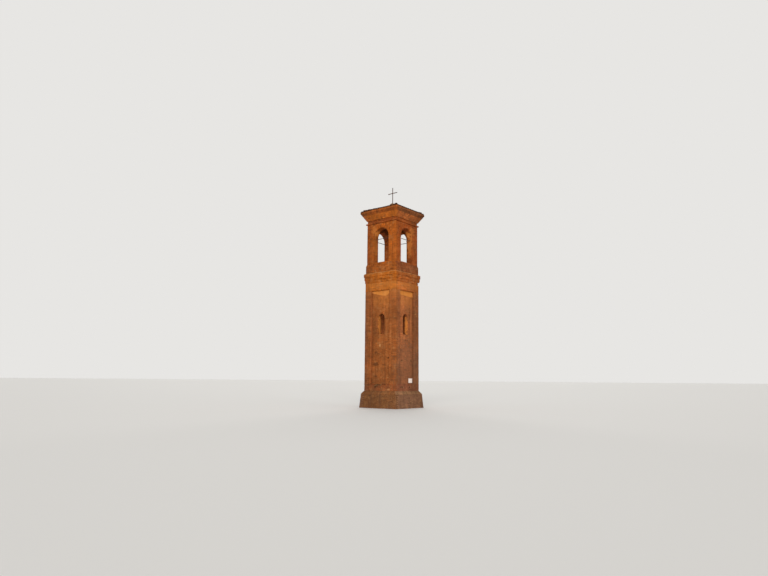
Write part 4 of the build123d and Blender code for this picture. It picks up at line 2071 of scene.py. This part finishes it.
@dataclass
class Plaster:
    """What is left of the ochre plaster at the head of the sunk panels."""

    slot: str = "shaft_brick"
    thickness: float = 0.017
    head: float = 7.765
    stride: float = 0.022
    raggedness: float = 0.009
    rim_width: float = 0.006
    rim_height: float = 0.003
    front_edge: tuple[Pair, ...] = (
        (-0.781, 7.640), (-0.62, 7.585), (-0.45, 7.555), (-0.30, 7.520), (-0.18, 7.480), (0.0, 7.435),
        (0.20, 7.400), (0.43, 7.370), (0.53, 7.430), (0.625, 7.540), (0.70, 7.500), (0.781, 7.470),
    )
    flank_edge: tuple[Pair, ...] = (
        (-0.781, 7.500), (-0.55, 7.470), (-0.30, 7.455), (0.0, 7.440), (0.25, 7.430), (0.50, 7.410),
        (0.68, 7.405), (0.781, 7.430),
    )

    def outline(self, edge: Sequence[Pair], random: np.random.Generator) -> list[Pair]:
        """The remnant's outline, ragged below and straight where it meets the piers and the frieze.

        Args:
            edge: The corners of its lower edge, from left to right.
            random: The source of its raggedness.

        Returns:
            The outline's corners.
        """
        points = []
        for (x0, z0), (x1, z1) in zip(edge, edge[1:]):
            count = max(2, int((x1 - x0) / self.stride))
            for index in range(count):
                share = index / count
                ragged = random.normal(0, self.raggedness) if points else 0.0
                points.append((x0 + (x1 - x0) * share, z0 + (z1 - z0) * share + ragged))
        points.append(edge[-1])
        return [*points, (edge[-1][0], self.head), (edge[0][0], self.head)]

    def build(self) -> None:
        """Lay a remnant on every side."""
        material = PlasterFinish().build()
        for side in Side:
            random = np.random.default_rng(700 + side.value)
            edge = self.front_edge if side in (Side.FRONT, Side.BACK) else self.flank_edge
            facing = Facing.upright(side, PLAN.panel)
            corners = [facing.at(across, up) for across, up in self.outline(edge, random)]
            shape, cap = slab(corners, facing.out * self.thickness)
            bmesh.ops.inset_region(
                shape, faces=cap, thickness=self.rim_width, depth=self.rim_height, use_even_offset=False,
            )
            bmesh.ops.triangulate(shape, faces=shape.faces)
            put(mesh_of(f"plaster_{side.label}", shape), material, self.slot)
            log.info("plaster_%s: %d points below", side.label, len(edge))


@dataclass
class Board:
    """The blank board on the right side, on two battens and held by four screws."""

    slot: str = "board_paint"
    sheet: float = 0.005
    sheet_round: float = 0.0015
    batten_half: float = 0.018
    batten_inset: float = 0.020
    batten_round: float = 0.002
    screw_inset: float = 0.022
    screw_radius: float = 0.006
    screw_taper: float = 0.6
    screw_height: float = 0.004
    screw_round: float = 0.0005

    def add_box(self, shape: Shape, low: Vector, high: Vector, rounding: float) -> None:
        """Add a box with its edges eased.

        Args:
            shape: What it is added to.
            low: Its least corner.
            high: Its greatest corner.
            rounding: How wide its edges are eased.
        """
        corners = bmesh.ops.create_cube(shape, size=1.0)["verts"]
        bmesh.ops.scale(shape, verts=corners, vec=high - low)
        bmesh.ops.translate(shape, verts=corners, vec=(low + high) / 2)
        ease(shape, {edge for corner in corners for edge in corner.link_edges}, rounding, segments=2)

    def build(self) -> None:
        """Make the board and its screws."""
        low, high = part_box("notice_board")
        back = high.x - self.sheet
        shape = bmesh.new()
        self.add_box(shape, Vector((back, low.y, low.z)), high, self.sheet_round)
        quarter = (high.z - low.z) / 4
        for middle in (low.z + quarter, high.z - quarter):
            foot = Vector((low.x, low.y + self.batten_inset, middle - self.batten_half))
            head = Vector((back + SLACK, high.y - self.batten_inset, middle + self.batten_half))
            self.add_box(shape, foot, head, self.batten_round)
        material = BoardFinish().build((low + high) / 2, (high - low) / 2)
        put(mesh_of("blank_board", shape), material, self.slot, "notice_board")
        self.drive_screws(low, high)

    def drive_screws(self, low: Vector, high: Vector) -> None:
        """Drive a round-headed screw at each corner.

        Args:
            low: The board's least corner.
            high: Its greatest corner.
        """
        shape = bmesh.new()
        turn = Matrix.Rotation(math.radians(90), 4, "Y")
        for across in (low.y + self.screw_inset, high.y - self.screw_inset):
            for up in (low.z + self.screw_inset, high.z - self.screw_inset):
                head = bmesh.ops.create_cone(
                    shape, cap_ends=True, cap_tris=False, segments=20, radius1=self.screw_radius,
                    radius2=self.screw_radius * self.screw_taper, depth=self.screw_height,
                    matrix=Matrix.Translation((high.x + SLACK, across, up)) @ turn,
                )["verts"]
                ease(shape, {edge for vertex in head for edge in vertex.link_edges}, self.screw_round)
        put(mesh_of("board_screws", shape), IronFinish().build(), "forged_iron")
        log.info("blank_board: sheet, battens and four screws")


@dataclass
class Ironwork:
    """The cross on the roof and the ties across the arches."""

    nodes: tuple[str, ...] = ("cross_mast", "cross_bar", "arch_ties")

    def build(self) -> None:
        """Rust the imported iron."""
        material = IronFinish().build()
        for node in self.nodes:
            dress_node(node, material)


@dataclass(frozen=True)
class Lamp:
    """A broad light from far away."""

    name: str
    azimuth: float
    elevation: float
    strength: float
    spread: float


def towards(azimuth: float, elevation: float) -> Vector:
    """The direction out to a place, by its turn from the front to the right and its height, in degrees."""
    turn, lean = math.radians(azimuth), math.radians(elevation)
    return Vector((math.sin(turn) * math.cos(lean), -math.cos(turn) * math.cos(lean), math.sin(lean)))


@dataclass
class Studio:
    """The plain floor, the soft light and the camera at the photograph's place."""

    floor_radius: float = 2500.0
    azimuth: float = 38.3222
    distance: float = 39.239
    height: float = 1.8
    heading: float = 39.1452
    pitch: float = 9.101
    roll: float = 0.4482
    lens: float = 27.016
    sensor: float = 36.0
    farthest: float = 6000.0
    ambient: float = 0.45
    backdrop: tuple[float, ...] = (0.80, 0.79, 0.77, 1.0)
    daylight: tuple[float, ...] = (1.0, 0.99, 0.97, 1.0)
    lamplight: Triple = (1.0, 0.985, 0.96)
    lamps: tuple[Lamp, ...] = (
        Lamp("key", azimuth=36.0, elevation=12.0, strength=2.75, spread=34.0),
        Lamp("fill", azimuth=80.0, elevation=12.0, strength=0.5, spread=40.0),
        Lamp("back", azimuth=218.0, elevation=16.0, strength=1.7, spread=50.0),
    )

    def lay_floor(self) -> None:
        """Lay a wide disc with a pale matt finish."""
        shape = bmesh.new()
        bmesh.ops.create_circle(shape, cap_ends=True, segments=96, radius=self.floor_radius)
        bmesh.ops.triangulate(shape, faces=shape.faces)
        mesh = mesh_of("studio_floor", shape)
        coat = Coat("studio_floor", roughness=0.95)
        coat.shader["Base Color"].default_value = self.backdrop
        mesh.materials.append(coat.material)
        floor = bpy.data.objects.new("studio_floor", mesh)
        bpy.context.scene.collection.objects.link(floor)

    def light_up(self) -> None:
        """Even light from all round, a broad key from the camera's side, a weak fill and one from behind."""
        world = bpy.data.worlds.new("studio")
        bpy.context.scene.world = world
        world.use_nodes = True
        world.node_tree.nodes.clear()
        graph = Graph(world.node_tree)
        path = graph.node("ShaderNodeLightPath").outputs
        seen = graph.value("MAXIMUM", path["Is Camera Ray"], path["Is Glossy Ray"])
        seen = graph.value("MAXIMUM", seen, path["Is Transmission Ray"])
        light = graph.node("ShaderNodeBackground", {"Color": self.daylight, "Strength": self.ambient})
        backdrop = graph.node("ShaderNodeBackground", {"Color": self.backdrop, "Strength": 1.0})
        mixed = graph.node("ShaderNodeMixShader", {0: seen, 1: light.outputs[0], 2: backdrop.outputs[0]})
        graph.node("ShaderNodeOutputWorld", {0: mixed.outputs[0]})
        for lamp in self.lamps:
            light = bpy.data.lights.new(lamp.name, "SUN")
            light.energy = lamp.strength
            light.angle = math.radians(lamp.spread)
            light.color = self.lamplight
            piece = bpy.data.objects.new(lamp.name, light)
            bpy.context.scene.collection.objects.link(piece)
            piece.rotation_euler = towards(lamp.azimuth, lamp.elevation).to_track_quat("Z", "Y").to_euler()

    def place_camera(self) -> None:
        """Stand the camera where the photograph was taken, with its tilt and slight roll."""
        lens = bpy.data.cameras.new("photograph")
        lens.lens = self.lens
        lens.sensor_width = self.sensor
        lens.clip_end = self.farthest
        camera = bpy.data.objects.new("photograph", lens)
        bpy.context.scene.collection.objects.link(camera)
        turn, roll = math.radians(self.azimuth), math.radians(self.roll)
        ahead = -towards(self.heading, -self.pitch)
        right = ahead.cross(Vector((0, 0, 1))).normalized()
        above = right.cross(ahead)
        across = right * math.cos(roll) + above * math.sin(roll)
        upright = above * math.cos(roll) - right * math.sin(roll)
        place = Matrix((across, upright, -ahead)).transposed().to_4x4()
        place.translation = (math.sin(turn) * self.distance, -math.cos(turn) * self.distance, self.height)
        camera.matrix_world = place
        bpy.context.scene.camera = camera

    def build(self) -> None:
        """Set the stage."""
        bpy.context.scene.view_settings.view_transform = "Standard"
        self.place_camera()
        self.lay_floor()
        self.light_up()
        log.info("studio: floor, world, three lamps and the camera")


def main() -> None:
    """Build the tower's sub-assemblies in order."""
    logging.basicConfig(level=logging.INFO, format="%(name)s %(message)s")
    walls = ("plinth_", "shaft_", "string_", "belfry_parapet_", "belfry_pier_", "arch_wall_", "cornice_")
    probe = WallProbe(piece for name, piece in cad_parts.items() if name.startswith(walls))
    Studio().build()
    for assembly in (Plinth, Shaft, StringCourse, Belfry, Cornice):
        assembly(probe).build()
    for assembly in (Roof, Plaster, Board, Ironwork):
        assembly().build()
    bpy.context.view_layer.update()


if __name__ == "__main__":
    main()
